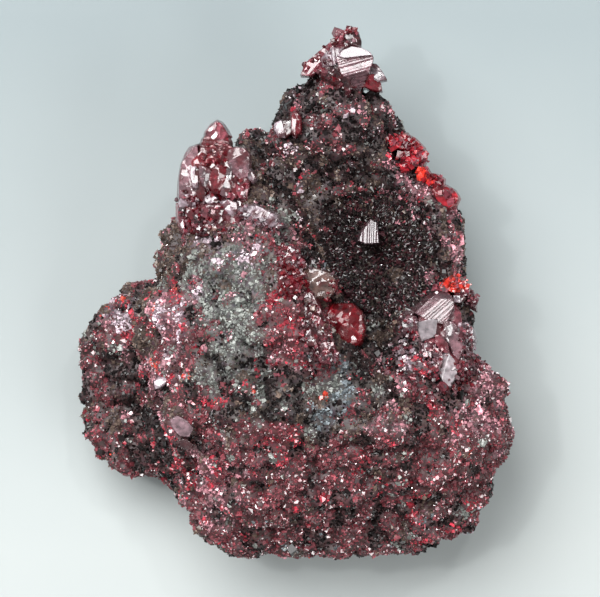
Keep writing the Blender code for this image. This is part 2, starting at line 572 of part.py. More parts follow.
def crust_form(sink, proud, margin, jagged):
    """A slab over the hollow: its underside lies `sink` below the rock's bare face and its top
    `proud` above it, reaching `margin` past the crust's edge. It is a square grid rounded into an
    oval, ring by ring. A jagged top has a crystal's point or a crease at each corner of the grid."""
    form = bmesh.new()
    bmesh.ops.create_grid(form, x_segments=CRUST_CELLS, y_segments=CRUST_CELLS, size=1.0)
    bmesh.ops.extrude_face_region(form, geom=list(form.faces), use_keep_orig=True)
    square = np.array([v.co for v in form.verts])
    u, v = square[:, 0], square[:, 1]
    share = np.maximum(np.abs(u), np.abs(v))
    stretch = share / np.maximum(np.hypot(u, v), 1e-9)
    x = CRUST_X + u * stretch * (CRUST_HALF_WIDTH + margin)
    y = CRUST_Y + v * stretch * (CRUST_HALF_LENGTH + margin)
    bare = face_height(x, y)
    spikes = 0.0
    if jagged:
        place = np.round(np.stack([x, y, 0 * x], axis=1) * 8)
        spikes = CRUST_SPIKE * (lattice_value(place, 5) - 0.35)
    is_lower = np.arange(len(x)) < len(x) // 2
    z = np.where(is_lower, bare - sink, bare + proud + spikes)
    for vert, place in zip(form.verts, zip(x, y, z)):
        vert.co = place
    bmesh.ops.triangulate(form, faces=form.faces)
    bmesh.ops.recalc_face_normals(form, faces=form.faces)
    return form


def add_hollow_crust(rock):
    crust = add_object(
        "hollow_crust",
        crust_form(sink=CRUST_DEPTH, proud=0.0, margin=0.0, jagged=True),
        material("hollow_druse"),
    )
    combine(crust, "UNION", add_helper("hollow_prism", crystal_form(HOLLOW_PRISM)))
    recess = crust_form(sink=CRUST_DEPTH + GAP, proud=6.0, margin=GAP, jagged=False)
    combine(rock, "DIFFERENCE", add_helper("hollow_recess", recess))


# --- The crystal groups -------------------------------------------------------------------------


def add_crystal_group(name, crystals, rock, finish):
    """One solid of crystals grown into each other, and a socket in the rock for each of them."""
    first, *others = crystals
    group = add_object(name, crystal_form(crystals[first]), finish)
    for other in others:
        combine(group, "UNION", add_helper(f"{name}_{other}", crystal_form(crystals[other])))
    for each, crystal in crystals.items():
        socket = add_helper(f"{name}_{each}_socket", crystal_form(crystal, grow=GAP))
        combine(rock, "DIFFERENCE", socket)


def main():
    for old in list(bpy.data.objects):
        bpy.data.objects.remove(old)
    rock = add_rock()
    add_hollow_crust(rock)
    finish = material("cinnabar")
    for name, crystals in CRYSTALS.items():
        add_crystal_group(name, crystals, rock, finish)


main()
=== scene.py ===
"""A miniature cinnabar specimen lying on its trimmed back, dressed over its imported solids.

Sizes are in millimetres and become metres when a mesh is made. +Z is up, out of the face that
carries the crystals, and +Y runs from the rounded end to the summit crystal.
"""

import math

import bpy
import numpy as np
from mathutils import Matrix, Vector


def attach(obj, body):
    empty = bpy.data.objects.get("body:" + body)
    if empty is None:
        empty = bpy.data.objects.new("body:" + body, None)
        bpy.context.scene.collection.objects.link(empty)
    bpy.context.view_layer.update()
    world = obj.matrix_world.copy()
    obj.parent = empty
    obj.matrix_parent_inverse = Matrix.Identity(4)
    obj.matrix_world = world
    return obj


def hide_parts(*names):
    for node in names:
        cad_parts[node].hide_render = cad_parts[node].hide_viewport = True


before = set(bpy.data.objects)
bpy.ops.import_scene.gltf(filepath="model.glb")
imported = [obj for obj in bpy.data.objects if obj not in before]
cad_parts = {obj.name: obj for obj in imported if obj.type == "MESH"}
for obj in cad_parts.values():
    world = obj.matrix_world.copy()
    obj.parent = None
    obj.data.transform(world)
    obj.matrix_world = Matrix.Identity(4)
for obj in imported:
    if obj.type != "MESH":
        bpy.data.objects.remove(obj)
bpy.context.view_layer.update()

# --- Camera -------------------------------------------------------------------------------------
# It looks straight down on the specimen, with the summit crystal at the top of the view. It stands
# far off, as a macro lens does, so that high and low parts keep the same scale.

MM = 0.001
VIEW_WIDTH = 45.2
VIEW_MIDDLE = (0.23, -0.23, 9.0)
CAMERA_DISTANCE = 420.0
SENSOR_WIDTH = 36.0

camera_data = bpy.data.cameras.new("camera")
camera_data.sensor_width = SENSOR_WIDTH
camera_data.lens = SENSOR_WIDTH * CAMERA_DISTANCE / VIEW_WIDTH
camera_data.clip_start = 0.01
camera_data.clip_end = 10.0
camera = bpy.data.objects.new("camera", camera_data)
camera.location = Vector(VIEW_MIDDLE) * MM + Vector((0, 0, CAMERA_DISTANCE * MM))
bpy.context.scene.collection.objects.link(camera)
bpy.context.scene.camera = camera

# --- Rock ---------------------------------------------------------------------------------------
# The specimen's body is one dark vein rock, lumpy and pitted, with a flat trimmed back. The crystals
# grew in a hollow in its upper half and along that hollow's edges.

CENTRE_X, CENTRE_Y = 0.6, -3.7  # the point that the outline's bearings are taken from
GIRTH_Z = 7.5  # height of the widest part
CREST_Z = 12.0  # height of the upper face in the middle, before its hills and hollows
UNDERCUT_Z = -0.9  # the underside's height, before the back is trimmed flat at 0
UNDERSIDE_REACH = 14.6  # low down, where the outline's notches have faded
SLANT = 0.45  # the outline turns by this many radians on its way down
ROUNDNESS = 0.74  # 1 is a ball, and less is flatter on top with a fuller edge
ROCK_CELLS = 118  # along each edge of the cube that the ball comes from

# The outline from above: (bearing in degrees, anticlockwise from +X; reach in mm).
OUTLINE = [
    (0, 12.1), (8, 12.5), (20, 12.4), (27, 12.8), (35, 14.3), (45, 15.3), (55, 15.9), (63, 17.0),
    (70, 18.9), (76, 19.8), (81, 20.5), (86, 20.3), (92, 19.4), (96, 18.1), (101, 16.4), (106, 16.6),
    (113, 15.2), (122, 13.7), (132, 13.4), (142, 13.5), (150, 12.8), (155, 12.1), (160, 12.5),
    (165, 13.6), (169, 15.5), (175, 16.6), (185, 17.1), (197, 17.7), (210, 17.5), (217, 16.6),
    (224, 14.5), (231, 14.9), (240, 16.0), (250, 16.9), (258, 16.4), (268, 15.6), (280, 16.2),
    (292, 16.8), (302, 17.9), (311, 18.7), (318, 17.9), (326, 17.5), (335, 17.1), (343, 15.9),
    (350, 15.0), (355, 13.2),
]

# Hills and hollows: (x, y, half width, half length, turn in degrees, rise, steepness).
UPPER_RELIEF = [
    (-1.5, -7.6, 9.5, 9.0, 0, 4.6, 1.2),  # main bulge
    (-3.4, -0.4, 4.6, 5.8, 15, 2.0, 1.0),  # grey crest
    (10.8, -7.4, 5.2, 6.0, 0, 2.6, 1.2),  # right swell
    (-8.2, 3.6, 4.2, 4.2, 0, 1.6, 1.0),  # left shoulder
    (-5.2, 6.6, 3.8, 2.8, 0, 2.6, 1.2),  # seat of the left crystal cluster
    (-15.0, -7.6, 5.0, 9.5, 6, -6.6, 2.2),  # left lobe, a step lower than the rest
    (6.3, 2.0, 4.6, 5.6, 8, -6.4, 2.0),  # hollow
    (3.2, 7.8, 5.6, 3.4, 20, -2.6, 1.3),  # upper end of the hollow
    (12.2, 4.6, 2.4, 5.0, 10, 2.8, 1.3),  # right rim
    (10.6, -1.8, 3.4, 3.2, 0, 2.6, 1.2),  # bank under the right crystal cluster
    (3.0, 14.2, 3.4, 5.2, 0, 2.4, 1.2),  # spire
    (-2.2, 10.4, 2.6, 2.4, 0, -0.8, 1.0),  # saddle
    (0.9, -0.6, 2.4, 4.4, 10, 1.6, 1.5),  # bank under the centre crystals
    (7.0, -9.5, 1.6, 1.6, 0, 1.1, 2.0),  # pink nodule
    (8.4, -6.6, 3.0, 1.1, -24, -1.6, 1.2),  # dark gully
    (-9.3, -10.2, 1.1, 4.4, 36, 1.4, 1.0),  # left ridge
    (-6.6, -11.0, 1.0, 3.6, 36, -0.9, 1.0),  # gully beside it
    (-10.4, -1.2, 2.6, 1.2, 40, 1.1, 1.4),  # ledge on the shoulder
    (2.2, -7.6, 1.7, 2.2, 0, -0.9, 1.3),  # grey dip
    (12.6, -12.4, 3.6, 1.3, 34, 0.9, 1.4),  # right ledge
    (0.6, -12.6, 1.8, 1.0, 12, -1.0, 1.4),  # lower pit
    (-2.0, -15.6, 6.5, 1.4, -4, 0.9, 1.5),  # lower ledge
    (3.0, -18.2, 14.0, 2.2, 8, -1.8, 1.4),  # lower step
]
GIRTH_RELIEF = [
    (-15.0, -7.0, 6.5, 9.0, 0, -3.2, 1.0),  # left lobe
    (3.0, 16.0, 6.0, 6.0, 0, 2.2, 1.0),  # spire
]
UNDER_RELIEF = [
    (3.2, 17.0, 7.0, 8.0, 0, 7.0, 1.0),  # spire
    (-15.0, -6.0, 5.0, 8.0, 0, 1.6, 1.0),  # left lobe
    (4.0, -19.5, 12.0, 5.0, 0, 3.0, 1.0),  # lower edge
]
LUMPS = [(4.6, 1.2), (2.3, 1.1), (1.3, 0.75)]  # (size of a lump, how far it stands out)
LUMP_MIDDLE = 0.74  # where a lump is this high, the rock keeps its place
FINE_LUMPS = [(1.35, 0.70), (0.65, 0.34)]
FINE_LUMP_MIDDLE = 0.75
LUMP_SEED, FINE_LUMP_SEED = 11, 31


def lattice_value(cells, seed):
    """A fixed value from 0 to 1 for each whole-number cell, from an integer hash of its place."""
    mixed = cells.astype(np.int64) @ np.array([73856093, 19349663, 83492791]) + seed * 2654435761
    mixed = (mixed ^ (mixed >> 13)) * 1274126177 & 0x7FFFFFFF
    return ((mixed ^ (mixed >> 16)) & 0xFFFFF) / float(0x100000)


def lump_height(points, size, seed):
    """Rounded lumps: 1 less the squared distance to the nearest scattered cell centre."""
    scaled = points / size
    base = np.floor(scaled)
    nearest = np.full(len(points), 9.0)
    for shift in np.ndindex(3, 3, 3):
        cell = base + np.array(shift) - 1
        centre = cell + np.stack([lattice_value(cell, seed + k) for k in range(3)], axis=1)
        nearest = np.minimum(nearest, ((scaled - centre) ** 2).sum(axis=1))
    return 1.0 - np.minimum(nearest, 1.0)


def lump_rise(points, lumps, seed, middle):
    """How far lumps stand out at each point: the sum over the sizes of depth times (height less the
    middle one), so that most of the rock keeps its place."""
    return sum(
        depth * (lump_height(points, size, seed + 3 * k) - middle)
        for k, (size, depth) in enumerate(lumps)
    )


def soft_noise(points, size, seed):
    """Smooth noise from 0 to 1: values at whole-number cells, blended by 3t^2 - 2t^3."""
    scaled = points / size
    base = np.floor(scaled)
    t = scaled - base
    t = t * t * (3 - 2 * t)
    total = np.zeros(len(points))
    for shift in np.ndindex(2, 2, 2):
        weight = np.prod(np.where(np.array(shift), t, 1 - t), axis=1)
        total += weight * lattice_value(base + np.array(shift), seed)
    return total


def relief(x, y, features):
    """The sum of the features' hills: rise times exp(-(distance squared) to the steepness)."""
    total = np.zeros_like(x)
    for centre_x, centre_y, half_x, half_y, turn, rise, steepness in features:
        cos, sin = math.cos(math.radians(turn)), math.sin(math.radians(turn))
        along = ((x - centre_x) * cos + (y - centre_y) * sin) / half_x
        across = ((y - centre_y) * cos - (x - centre_x) * sin) / half_y
        total += rise * np.exp(-((along**2 + across**2) ** steepness))
    return total


def reach(bearing):
    """The outline's reach at each bearing: a smooth closed curve through OUTLINE's points."""
    knots = np.radians([b for b, _ in OUTLINE])
    radii = np.array([r for _, r in OUTLINE])
    bearing = np.mod(bearing, 2 * math.pi)
    i = np.searchsorted(knots, bearing, side="right") - 1
    j = (i + 1) % len(knots)
    t = (bearing - knots[i]) / np.mod(knots[j] - knots[i], 2 * math.pi)
    before, after = radii[(i - 1) % len(knots)], radii[(i + 2) % len(knots)]
    leave, arrive = (radii[j] - before) / 2, (after - radii[i]) / 2
    return (
        (2 * t**3 - 3 * t**2 + 1) * radii[i]
        + (t**3 - 2 * t**2 + t) * leave
        + (3 * t**2 - 2 * t**3) * radii[j]
        + (t**3 - t**2) * arrive
    )


def rock_points(directions):
    """The rock in each direction from its middle: a superellipse from the outline up to the upper
    face and down to the underside, with lumps raised along the directions."""
    x, y, z = directions.T
    bearing = np.arctan2(y, x)
    below = np.clip(-z, 0, 1) ** 1.5
    radius = reach(bearing + SLANT * below) * (1 - below) + UNDERSIDE_REACH * below
    out = np.hypot(x, y) ** ROUNDNESS * radius
    rock_x = CENTRE_X + out * np.cos(bearing)
    rock_y = CENTRE_Y + out * np.sin(bearing)
    girth = GIRTH_Z + relief(rock_x, rock_y, GIRTH_RELIEF)
    crest = CREST_Z + relief(rock_x, rock_y, UPPER_RELIEF)
    under = UNDERCUT_Z + relief(rock_x, rock_y, UNDER_RELIEF)
    rise = np.abs(z) ** ROUNDNESS
    rock_z = np.where(z > 0, girth + rise * (crest - girth), girth - rise * (girth - under))
    points = np.stack([rock_x, rock_y, rock_z], axis=1)
    return points + directions * lump_rise(points, LUMPS, LUMP_SEED, LUMP_MIDDLE)[:, None]


def face_height(x, y):
    """Height of the rock's upper face over each (x, y), without its lumps."""
    x, y = np.atleast_1d(np.asarray(x, float)), np.atleast_1d(np.asarray(y, float))
    across, along = x - CENTRE_X, y - CENTRE_Y
    share = np.minimum(np.hypot(across, along) / reach(np.arctan2(along, across)), 0.995)
    lift = np.sqrt(1 - share ** (2 / ROUNDNESS)) ** ROUNDNESS
    girth = GIRTH_Z + relief(x, y, GIRTH_RELIEF)
    return girth + lift * (CREST_Z + relief(x, y, UPPER_RELIEF) - girth)


def ball_grid(cells):
    """Directions and four-cornered faces of a cube blown up into a ball. Each side of the cube is a
    grid warped by the tangent of its angle, so that all cells are about as wide, and the sides are
    welded where they meet."""
    steps = np.arange(cells + 1) * 2 - cells
    u, v = np.meshgrid(steps, steps, indexing="ij")
    flat = np.full_like(u, cells)
    sides = [(flat, u, v), (-flat, v, u), (v, flat, u), (u, -flat, v), (u, v, flat), (v, u, -flat)]
    corners = np.concatenate([np.stack(side, axis=-1).reshape(-1, 3) for side in sides])
    welded, place = np.unique(corners, axis=0, return_inverse=True)
    place = place.reshape(6, cells + 1, cells + 1)
    faces = np.stack(
        [place[:, :-1, :-1], place[:, 1:, :-1], place[:, 1:, 1:], place[:, :-1, 1:]], axis=-1
    )
    even = np.tan(welded / cells * math.pi / 4)
    return even / np.linalg.norm(even, axis=1, keepdims=True), faces.reshape(-1, 4)


def corner_normals(points, faces):
    """The outward direction at each corner: the sum of its faces' diagonals' cross products."""
    a, b, c, d = (points[faces[:, k]] for k in range(4))
    across = np.cross(c - a, d - b)
    total = np.zeros_like(points)
    for k in range(4):
        np.add.at(total, faces[:, k], across)
    return total / np.linalg.norm(total, axis=1, keepdims=True)


def add_mesh(name, points, faces, finish, smooth=True, colours=None):
    """An object whose points are given in millimetres and whose faces all have as many corners."""
    corners = faces.shape[1]
    mesh = bpy.data.meshes.new(name)
    mesh.vertices.add(len(points))
    mesh.vertices.foreach_set("co", (points * MM).astype(np.float32).ravel())
    mesh.loops.add(faces.size)
    mesh.loops.foreach_set("vertex_index", faces.astype(np.int32).ravel())
    mesh.polygons.add(len(faces))
    mesh.polygons.foreach_set("loop_start", np.arange(0, faces.size, corners, dtype=np.int32))
    mesh.polygons.foreach_set("use_smooth", np.full(len(faces), smooth))
    if colours is not None:
        tint = mesh.attributes.new("tint", "FLOAT_COLOR", "POINT")
        rgba = np.concatenate([colours, np.ones((len(points), 1))], axis=1)
        tint.data.foreach_set("color", rgba.astype(np.float32).ravel())
    mesh.update(calc_edges=True)
    mesh.validate()
    mesh.materials.append(finish)
    made = bpy.data.objects.new(name, mesh)
    bpy.context.scene.collection.objects.link(made)
    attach(made, "root")
    return made


def new_material(name):
    """A material with nodes: (the material, its nodes, its shader)."""
    made = bpy.data.materials.new(name)
    made.use_nodes = True
    nodes = made.node_tree.nodes
    return made, nodes, nodes["Principled BSDF"]


def feed(node, sockets):
    """Give each of a node's sockets a plain value, or link another node's output to it."""
    for socket, value in sockets.items():
        if isinstance(value, bpy.types.NodeSocket):
            node.id_data.links.new(value, node.inputs[socket])
        else:
            node.inputs[socket].default_value = value


def add_node(nodes, kind, sockets=None, **traits):
    """The outputs of a new shader node. Its traits come first, as they decide which sockets it has."""
    node = nodes.new("ShaderNode" + kind)
    for trait, value in traits.items():
        setattr(node, trait, value)
    feed(node, sockets or {})
    return node.outputs


rock_finish, nodes, shader = new_material("vein_rock")
place = add_node(nodes, "TexCoord")["Object"]
tint = add_node(nodes, "Attribute", attribute_name="tint")["Color"]
speckle = add_node(nodes, "TexNoise", {"Vector": place, "Scale": 2600.0, "Detail": 3.0})["Color"]
sockets = {"Factor": 0.7, "A": tint, "B": speckle}
shade = add_node(nodes, "Mix", sockets, data_type="RGBA", blend_type="MULTIPLY")["Result"]
feed(shader, {"Base Color": shade, "Roughness": 0.5})


def fine_height(points):
    """How far the small lumps stand out at each point."""
    return lump_rise(points, FINE_LUMPS, FINE_LUMP_SEED, FINE_LUMP_MIDDLE)


directions, rock_faces = ball_grid(ROCK_CELLS)
rock = rock_points(directions)
outward = corner_normals(rock, rock_faces)
rock = rock + outward * fine_height(rock)[:, None]
rock[:, 2] = np.maximum(rock[:, 2], 0.0)

# --- Sugary grains ------------------------------------------------------------------------------
# The whole rock is crusted with tiny crystals: grey quartz-like grains, dark ones, and cinnabar
# from red-brown to orange-red and dusty pink. They grew straight out of the rock.

# Kinds of grain: (colour, how much the shade varies). The first four are rock, the rest cinnabar.
GRAIN_KINDS = {
    "dark": ((0.012, 0.008, 0.008), 0.5),
    "brown": ((0.120, 0.084, 0.068), 0.4),
    "grey": ((0.255, 0.265, 0.245), 0.35),
    "blue": ((0.215, 0.245, 0.265), 0.35),
    "wine": ((0.190, 0.040, 0.050), 0.4),
    "red": ((0.380, 0.030, 0.048), 0.4),
    "orange": ((0.620, 0.060, 0.034), 0.3),
    "pink": ((0.430, 0.190, 0.222), 0.5),
    # painted glints: pale pinkish-white grains whose colour stands for sparkle
    "frost": ((0.680, 0.540, 0.600), 0.3),
}
ROCK_KINDS = 4
# How common each kind is away from the patches, and the share of a kind that isn't named here.
COMMON = {
    "dark": 0.38, "brown": 0.26, "grey": 0.10, "wine": 0.30, "red": 0.09, "orange": 0.012, "pink": 0.06,
}
RARE = 0.01

# Patches where some kinds are commoner: (x, y, half width, half length, turn in degrees, {kind:
# weight}).
PATCHES = [
    (-3.9, 1.2, 3.4, 3.0, 0, {"grey": 2.2, "pink": 0.3}),  # grey crest
    (-4.3, -3.0, 2.6, 2.8, 0, {"grey": 1.2, "dark": 0.5}),
    (2.4, -7.5, 1.1, 2.0, 0, {"blue": 3.0}),  # bluish patch
    (-3.5, -7.1, 3.0, 2.2, 0, {"dark": 0.8, "grey": 0.6}),
    (2.4, -8.0, 5.6, 2.8, 0, {"dark": 1.0, "grey": 0.8, "brown": 0.5}),  # dark band
    (-9.6, 3.4, 2.5, 3.0, 0, {"brown": 2.0, "wine": 0.6, "dark": 0.4}),  # left shoulder
    (-2.4, 11.0, 2.4, 2.2, 0, {"brown": 1.2, "wine": 1.0, "dark": 2.4, "frost": 0.25}),  # saddle
    (-12.6, -2.6, 1.7, 1.7, 0, {"red": 0.8, "pink": 0.9}),
    (-9.8, -3.6, 1.0, 3.6, -16, {"pink": 3.0, "red": 2.2, "frost": 0.6, "orange": 0.3}),  # red streak
    (-9.3, -10.5, 1.1, 3.8, 36, {"red": 1.4, "pink": 1.6}),  # left ridge
    (-2.0, -9.7, 1.6, 1.1, 0, {"red": 2.4, "pink": 0.8}),
    (-6.4, -15.8, 1.8, 2.4, 0, {"pink": 1.8, "red": 0.7}),
    (-8.8, 0.0, 0.5, 0.4, 0, {"orange": 5.0}),
    (13.6, -11.8, 0.8, 0.7, 0, {"orange": 2.0, "pink": 2.0}),
    (1.6, -7.5, 0.35, 0.4, 0, {"orange": 9.0}),
    (1.7, -14.0, 13.0, 5.0, 0, {"wine": 1.5, "red": 0.45, "dark": 0.4}),  # lower third
    (7.0, -9.5, 1.6, 1.6, 0, {"pink": 1.2, "wine": 1.2}),  # pink nodule
    (15.0, -8.5, 2.4, 4.4, 0, {"wine": 1.2, "pink": 1.2}),  # right edge
    (10.6, -4.8, 3.4, 2.6, 0, {"red": 1.7, "pink": 1.4}),  # under the right cluster
    (7.0, 2.6, 5.0, 8.0, 0, {"dark": 5.0, "wine": 1.2, "brown": 1.6}),  # hollow
    (11.6, 4.0, 1.5, 3.4, 0, {"pink": 1.4, "wine": 1.4, "brown": 1.0}),  # right rim
    (0.2, -2.0, 2.6, 3.8, 0, {"red": 2.0, "wine": 1.8, "pink": 0.8}),  # under the centre crystals
    (-4.0, 4.4, 3.4, 1.3, 0, {"pink": 1.8, "red": 0.7, "grey": 0.8}),  # under the left cluster
    (3.2, 14.0, 3.2, 3.8, 0, {"dark": 1.2, "wine": 1.6, "brown": 0.6}),  # spire
    (-14.1, -7.9, 3.2, 6.0, 0, {"wine": 1.5, "dark": 1.6, "brown": 0.9, "pink": 0.4}),  # left lobe: wine and brown tones, with dark grains as painted shade where it falls away
    (-10.2, -2.0, 0.8, 0.6, 30, {"frost": 4.0, "pink": 3.0}),  # bright spots on the left flank: pink grains and painted glints
    (-13.2, -0.8, 0.7, 0.5, 30, {"frost": 4.0, "red": 2.0}),
    (-8.4, -0.9, 0.5, 0.7, 0, {"frost": 2.5, "pink": 2.0}),
    (-13.9, -2.2, 0.9, 0.6, 0, {"orange": 1.5, "red": 3.0}),
    (-9.2, -1.6, 0.7, 0.5, 0, {"orange": 2.0, "red": 3.0}),
    (8.8, -4.6, 1.2, 1.0, -30, {"frost": 2.2, "pink": 2.0}),
    (11.9, -10.1, 0.8, 1.3, 25, {"pink": 2.5, "red": 1.5}),
    (9.8, 8.2, 2.4, 3.4, -30, {"red": 1.8, "pink": 3.4}),  # round the rim crystals
    (14.6, -4.4, 2.4, 2.0, 0, {"pink": 3.0, "red": 1.2}),
    (-5.5, 3.6, 2.4, 1.0, 0, {"frost": 1.0, "pink": 1.5}),
    (3.4, 8.6, 3.0, 2.2, 0, {"wine": 1.2, "brown": 1.5, "dark": 1.5, "frost": 0.3}),  # hollow's end
    (3.4, 13.6, 3.0, 3.0, 0, {"pink": 0.4, "wine": 0.5, "frost": 0.5, "dark": 2.0}),
    (11.2, 4.2, 1.6, 2.6, 0, {"pink": 3.4, "red": 1.2, "frost": 0.3}),
    (-5.4, -13.4, 2.8, 2.6, 30, {"pink": 1.6, "red": 0.6}),
    (-11.1, -10.0, 0.6, 3.4, 36, {"dark": 5.0}),  # painted shade: dark grains drawn as a groove beside the left ridge
    (-9.6, -1.8, 1.6, 1.1, 25, {"pink": 3.0, "red": 4.5, "frost": 3.0}),
    (-13.4, -1.8, 1.1, 1.3, 0, {"pink": 1.5, "red": 4.5, "frost": 2.6, "orange": 0.8}),
    (-11.9, -2.4, 0.8, 1.7, 0, {"brown": 3.5, "dark": 1.2, "grey": 0.8}),
    (-7.5, 0.8, 0.6, 0.5, 0, {"pink": 2.5, "frost": 2.0}),
    (14.8, -9.0, 1.6, 3.2, 0, {"pink": 1.2, "wine": 0.5}),
]

GRAINS = 82000
GRAINS_IN_A_PIECE = 15500
GRAIN_SIZE = 0.105  # half the length of a middling grain
GRAIN_SPREAD = 0.34  # how much their sizes vary
GRAIN_LEAN = 0.7
GRAIN_SUNK = 0.1  # the share of its size by which a grain is sunk
CORNER_SHAKE = 0.18  # grains are misshapen by this share
PATCH_SHAKE, PATCH_SHAKE_SIZE = 2.2, 1.7  # how far a patch's edge wanders, and over what length
CLUMP_SIZE = 1.1  # red grains stand together over about this length
KIND_CLUMP_SIZE = 1.0  # and grains of one kind over this one
PAINTED_PIT_SHADE, PAINTED_CREST_LIGHT = 0.05, 1.3  # painted shade: grains down between the lumps are darker, and painted light makes those on top brighter
ROCK_SHADE = 0.4  # the bare rock between the grains is darker than they are


def kind_shares(points):
    """How common each kind of grain is at each point: the common shares, with each patch's added in
    proportion to exp(-(distance squared to the 1.3)), on the upper part alone, measured after the
    point is shaken by noise so that patches have ragged edges; the reds' shares times a power of
    another noise, so that red grains clump; all divided by their sum."""
    names = list(GRAIN_KINDS)
    shares = np.tile([COMMON.get(name, RARE) for name in names], (len(points), 1))
    shaken = points[:, :2] + PATCH_SHAKE * np.stack(
        [soft_noise(points, PATCH_SHAKE_SIZE, seed) - 0.5 for seed in (61, 62)], axis=1
    )
    on_top = np.clip((points[:, 2] - 2.0) / 3.0, 0, 1)
    for x, y, half_x, half_y, turn, kinds in PATCHES:
        amount = relief(shaken[:, 0], shaken[:, 1], [(x, y, half_x, half_y, turn, 1.0, 1.3)])
        for name, weight in kinds.items():
            shares[:, names.index(name)] += weight * amount * on_top
    clumps = soft_noise(points, CLUMP_SIZE, 71)
    reds = [names.index(name) for name in ("red", "orange", "pink")]
    shares[:, reds] *= (2.6 * clumps**2.4)[:, None] + 0.12
    return shares / shares.sum(axis=1, keepdims=True)


def turned_about(axis_points, rng):
    """For each given direction, a rotation whose third axis leans towards it and whose spin about
    it is random: three axes square to each other from two cross products."""
    third = axis_points / np.linalg.norm(axis_points, axis=1, keepdims=True)
    first = np.cross(third, rng.normal(size=third.shape))
    first /= np.linalg.norm(first, axis=1, keepdims=True)
    return np.stack([first, np.cross(third, first), third], axis=2)


def block_corners():
    """A leaning block: a cube's corners sheared by a quarter, with triangles for faces."""
    corners = np.array([(x, y, z) for x in (-1, 1) for y in (-1, 1) for z in (-1, 1)], float)
    corners[:, 0] += 0.25 * corners[:, 2]
    quads = np.array(
        [(0, 1, 3, 2), (4, 6, 7, 5), (0, 4, 5, 1), (2, 3, 7, 6), (0, 2, 6, 4), (1, 5, 7, 3)]
    )
    return corners * 0.72, np.concatenate([quads[:, (0, 1, 2)], quads[:, (0, 2, 3)]])


def spindle_corners(sides):
    """A pointed spindle: a ring of corners round the middle with a point above and below."""
    angle = np.arange(sides) * 2 * math.pi / sides
    belt = np.stack([0.8 * np.cos(angle), 0.8 * np.sin(angle), 0 * angle - 0.1], axis=1)
    corners = np.concatenate([belt, [(0, 0, 1.0), (0, 0, -1.0)]])
    here, there = np.arange(sides), (np.arange(sides) + 1) % sides
    top = np.stack([here, there, np.full(sides, sides)], axis=1)
    bottom = np.stack([there, here, np.full(sides, sides + 1)], axis=1)
    return corners, np.concatenate([top, bottom])


def scattered(rng, count, points, faces, density):
    """Random places on the faces, commoner where the density is, and the faces' directions: each
    is a blend of the face's corners by two random shares."""
    a, b, c, d = (points[faces[:, k]] for k in range(4))
    across = np.cross(c - a, d - b)
    area = np.linalg.norm(across, axis=1)
    chance = area * density((a + c) / 2, across / np.maximum(area, 1e-9)[:, None])
    chosen = rng.choice(len(faces), size=count, p=chance / chance.sum())
    s, t = rng.random((2, count, 1))
    place = (a[chosen] * (1 - s) + b[chosen] * s) * (1 - t) + (d[chosen] * (1 - s) + c[chosen] * s) * t
    return place, across[chosen] / area[chosen][:, None]


def grown_grains(place, outward, size, slim, lean, template, rng):
    """Copies of the template's corners, each stretched along its own third axis, turned to lean
    about the outward direction, and set at its place."""
    corners, triangles = template
    turn = turned_about(outward + lean * rng.normal(size=outward.shape), rng)
    scale = np.stack([size * slim, size * slim, size], axis=1)
    shaken = 1 + CORNER_SHAKE * rng.normal(size=(len(place), len(corners), 1))
    local = corners[None] * scale[:, None] * shaken
    points = place[:, None] + np.einsum("nij,nkj->nki", turn, local)
    faces = triangles[None] + (np.arange(len(place)) * len(corners))[:, None, None]
    return points.reshape(-1, 3), faces.reshape(-1, 3)


def add_grains(name, place, outward, size, colour, template, slim, finish, rng):
    """One piece of grains, each in a colour of its own, sunk a little and up to 0.3 thicker than
    slim times its size."""
    sunk = place - GRAIN_SUNK * size[:, None] * outward
    thickness = slim + 0.3 * rng.random(len(place))
    points, faces = grown_grains(sunk, outward, size, thickness, GRAIN_LEAN, template, rng)
    colours = np.repeat(colour, len(template[0]), axis=0)
    made = add_mesh(name, points, faces, finish, smooth=False, colours=colours)
    return made


def new_group(name, inputs, outputs):
    """An empty shader node group with sockets of the named kinds: (group, its nodes, what goes in,
    the node that it comes out of)."""
    group = bpy.data.node_groups.new(name, "ShaderNodeTree")
    for in_out, sockets in (("INPUT", inputs), ("OUTPUT", outputs)):
        for socket, kind in sockets.items():
            group.interface.new_socket(socket, in_out=in_out, socket_type="NodeSocket" + kind)
    nodes = group.nodes
    return group, nodes, nodes.new("NodeGroupInput").outputs, nodes.new("NodeGroupOutput")


def mottling_group():
    """Node group that mottles a colour: it is scaled by a share that goes from low to high as a
    noise goes from 0.3 to 0.7."""
    inputs = {"Color": "Color", "Scale": "Float", "Low": "Float", "High": "Float"}
    group, nodes, entry, leave = new_group("mottling", inputs, {"Color": "Color"})
    place = add_node(nodes, "TexCoord")["Object"]
    noise = add_node(nodes, "TexNoise", {"Vector": place, "Scale": entry["Scale"]})["Fac"]
    sockets = {"From Min": 0.3, "From Max": 0.7, "To Min": entry["Low"], "To Max": entry["High"]}
    share = add_node(nodes, "MapRange", {"Value": noise, **sockets})["Result"]
    shade = add_node(nodes, "VectorMath", {0: entry["Color"], "Scale": share}, operation="SCALE")
    feed(leave, {"Color": shade["Vector"]})
    return group


def grain_material(name, roughness, ior):
    """Glossy grains in their own tint, mottled inside."""
    finish, nodes, shader = new_material(name)
    tint = add_node(nodes, "Attribute", attribute_name="tint")["Color"]
    sockets = {"Color": tint, "Scale": 5200.0, "Low": 0.55, "High": 1.35}
    mottled = add_node(nodes, "Group", sockets, node_tree=mottling)["Color"]
    feed(shader, {"Base Color": mottled, "Roughness": roughness, "IOR": ior})
    return finish


mottling = mottling_group()
rock_grain_finish = grain_material("rock_grains", roughness=0.2, ior=1.42)
red_grain_finish = grain_material("cinnabar_grains", roughness=0.15, ior=2.0)

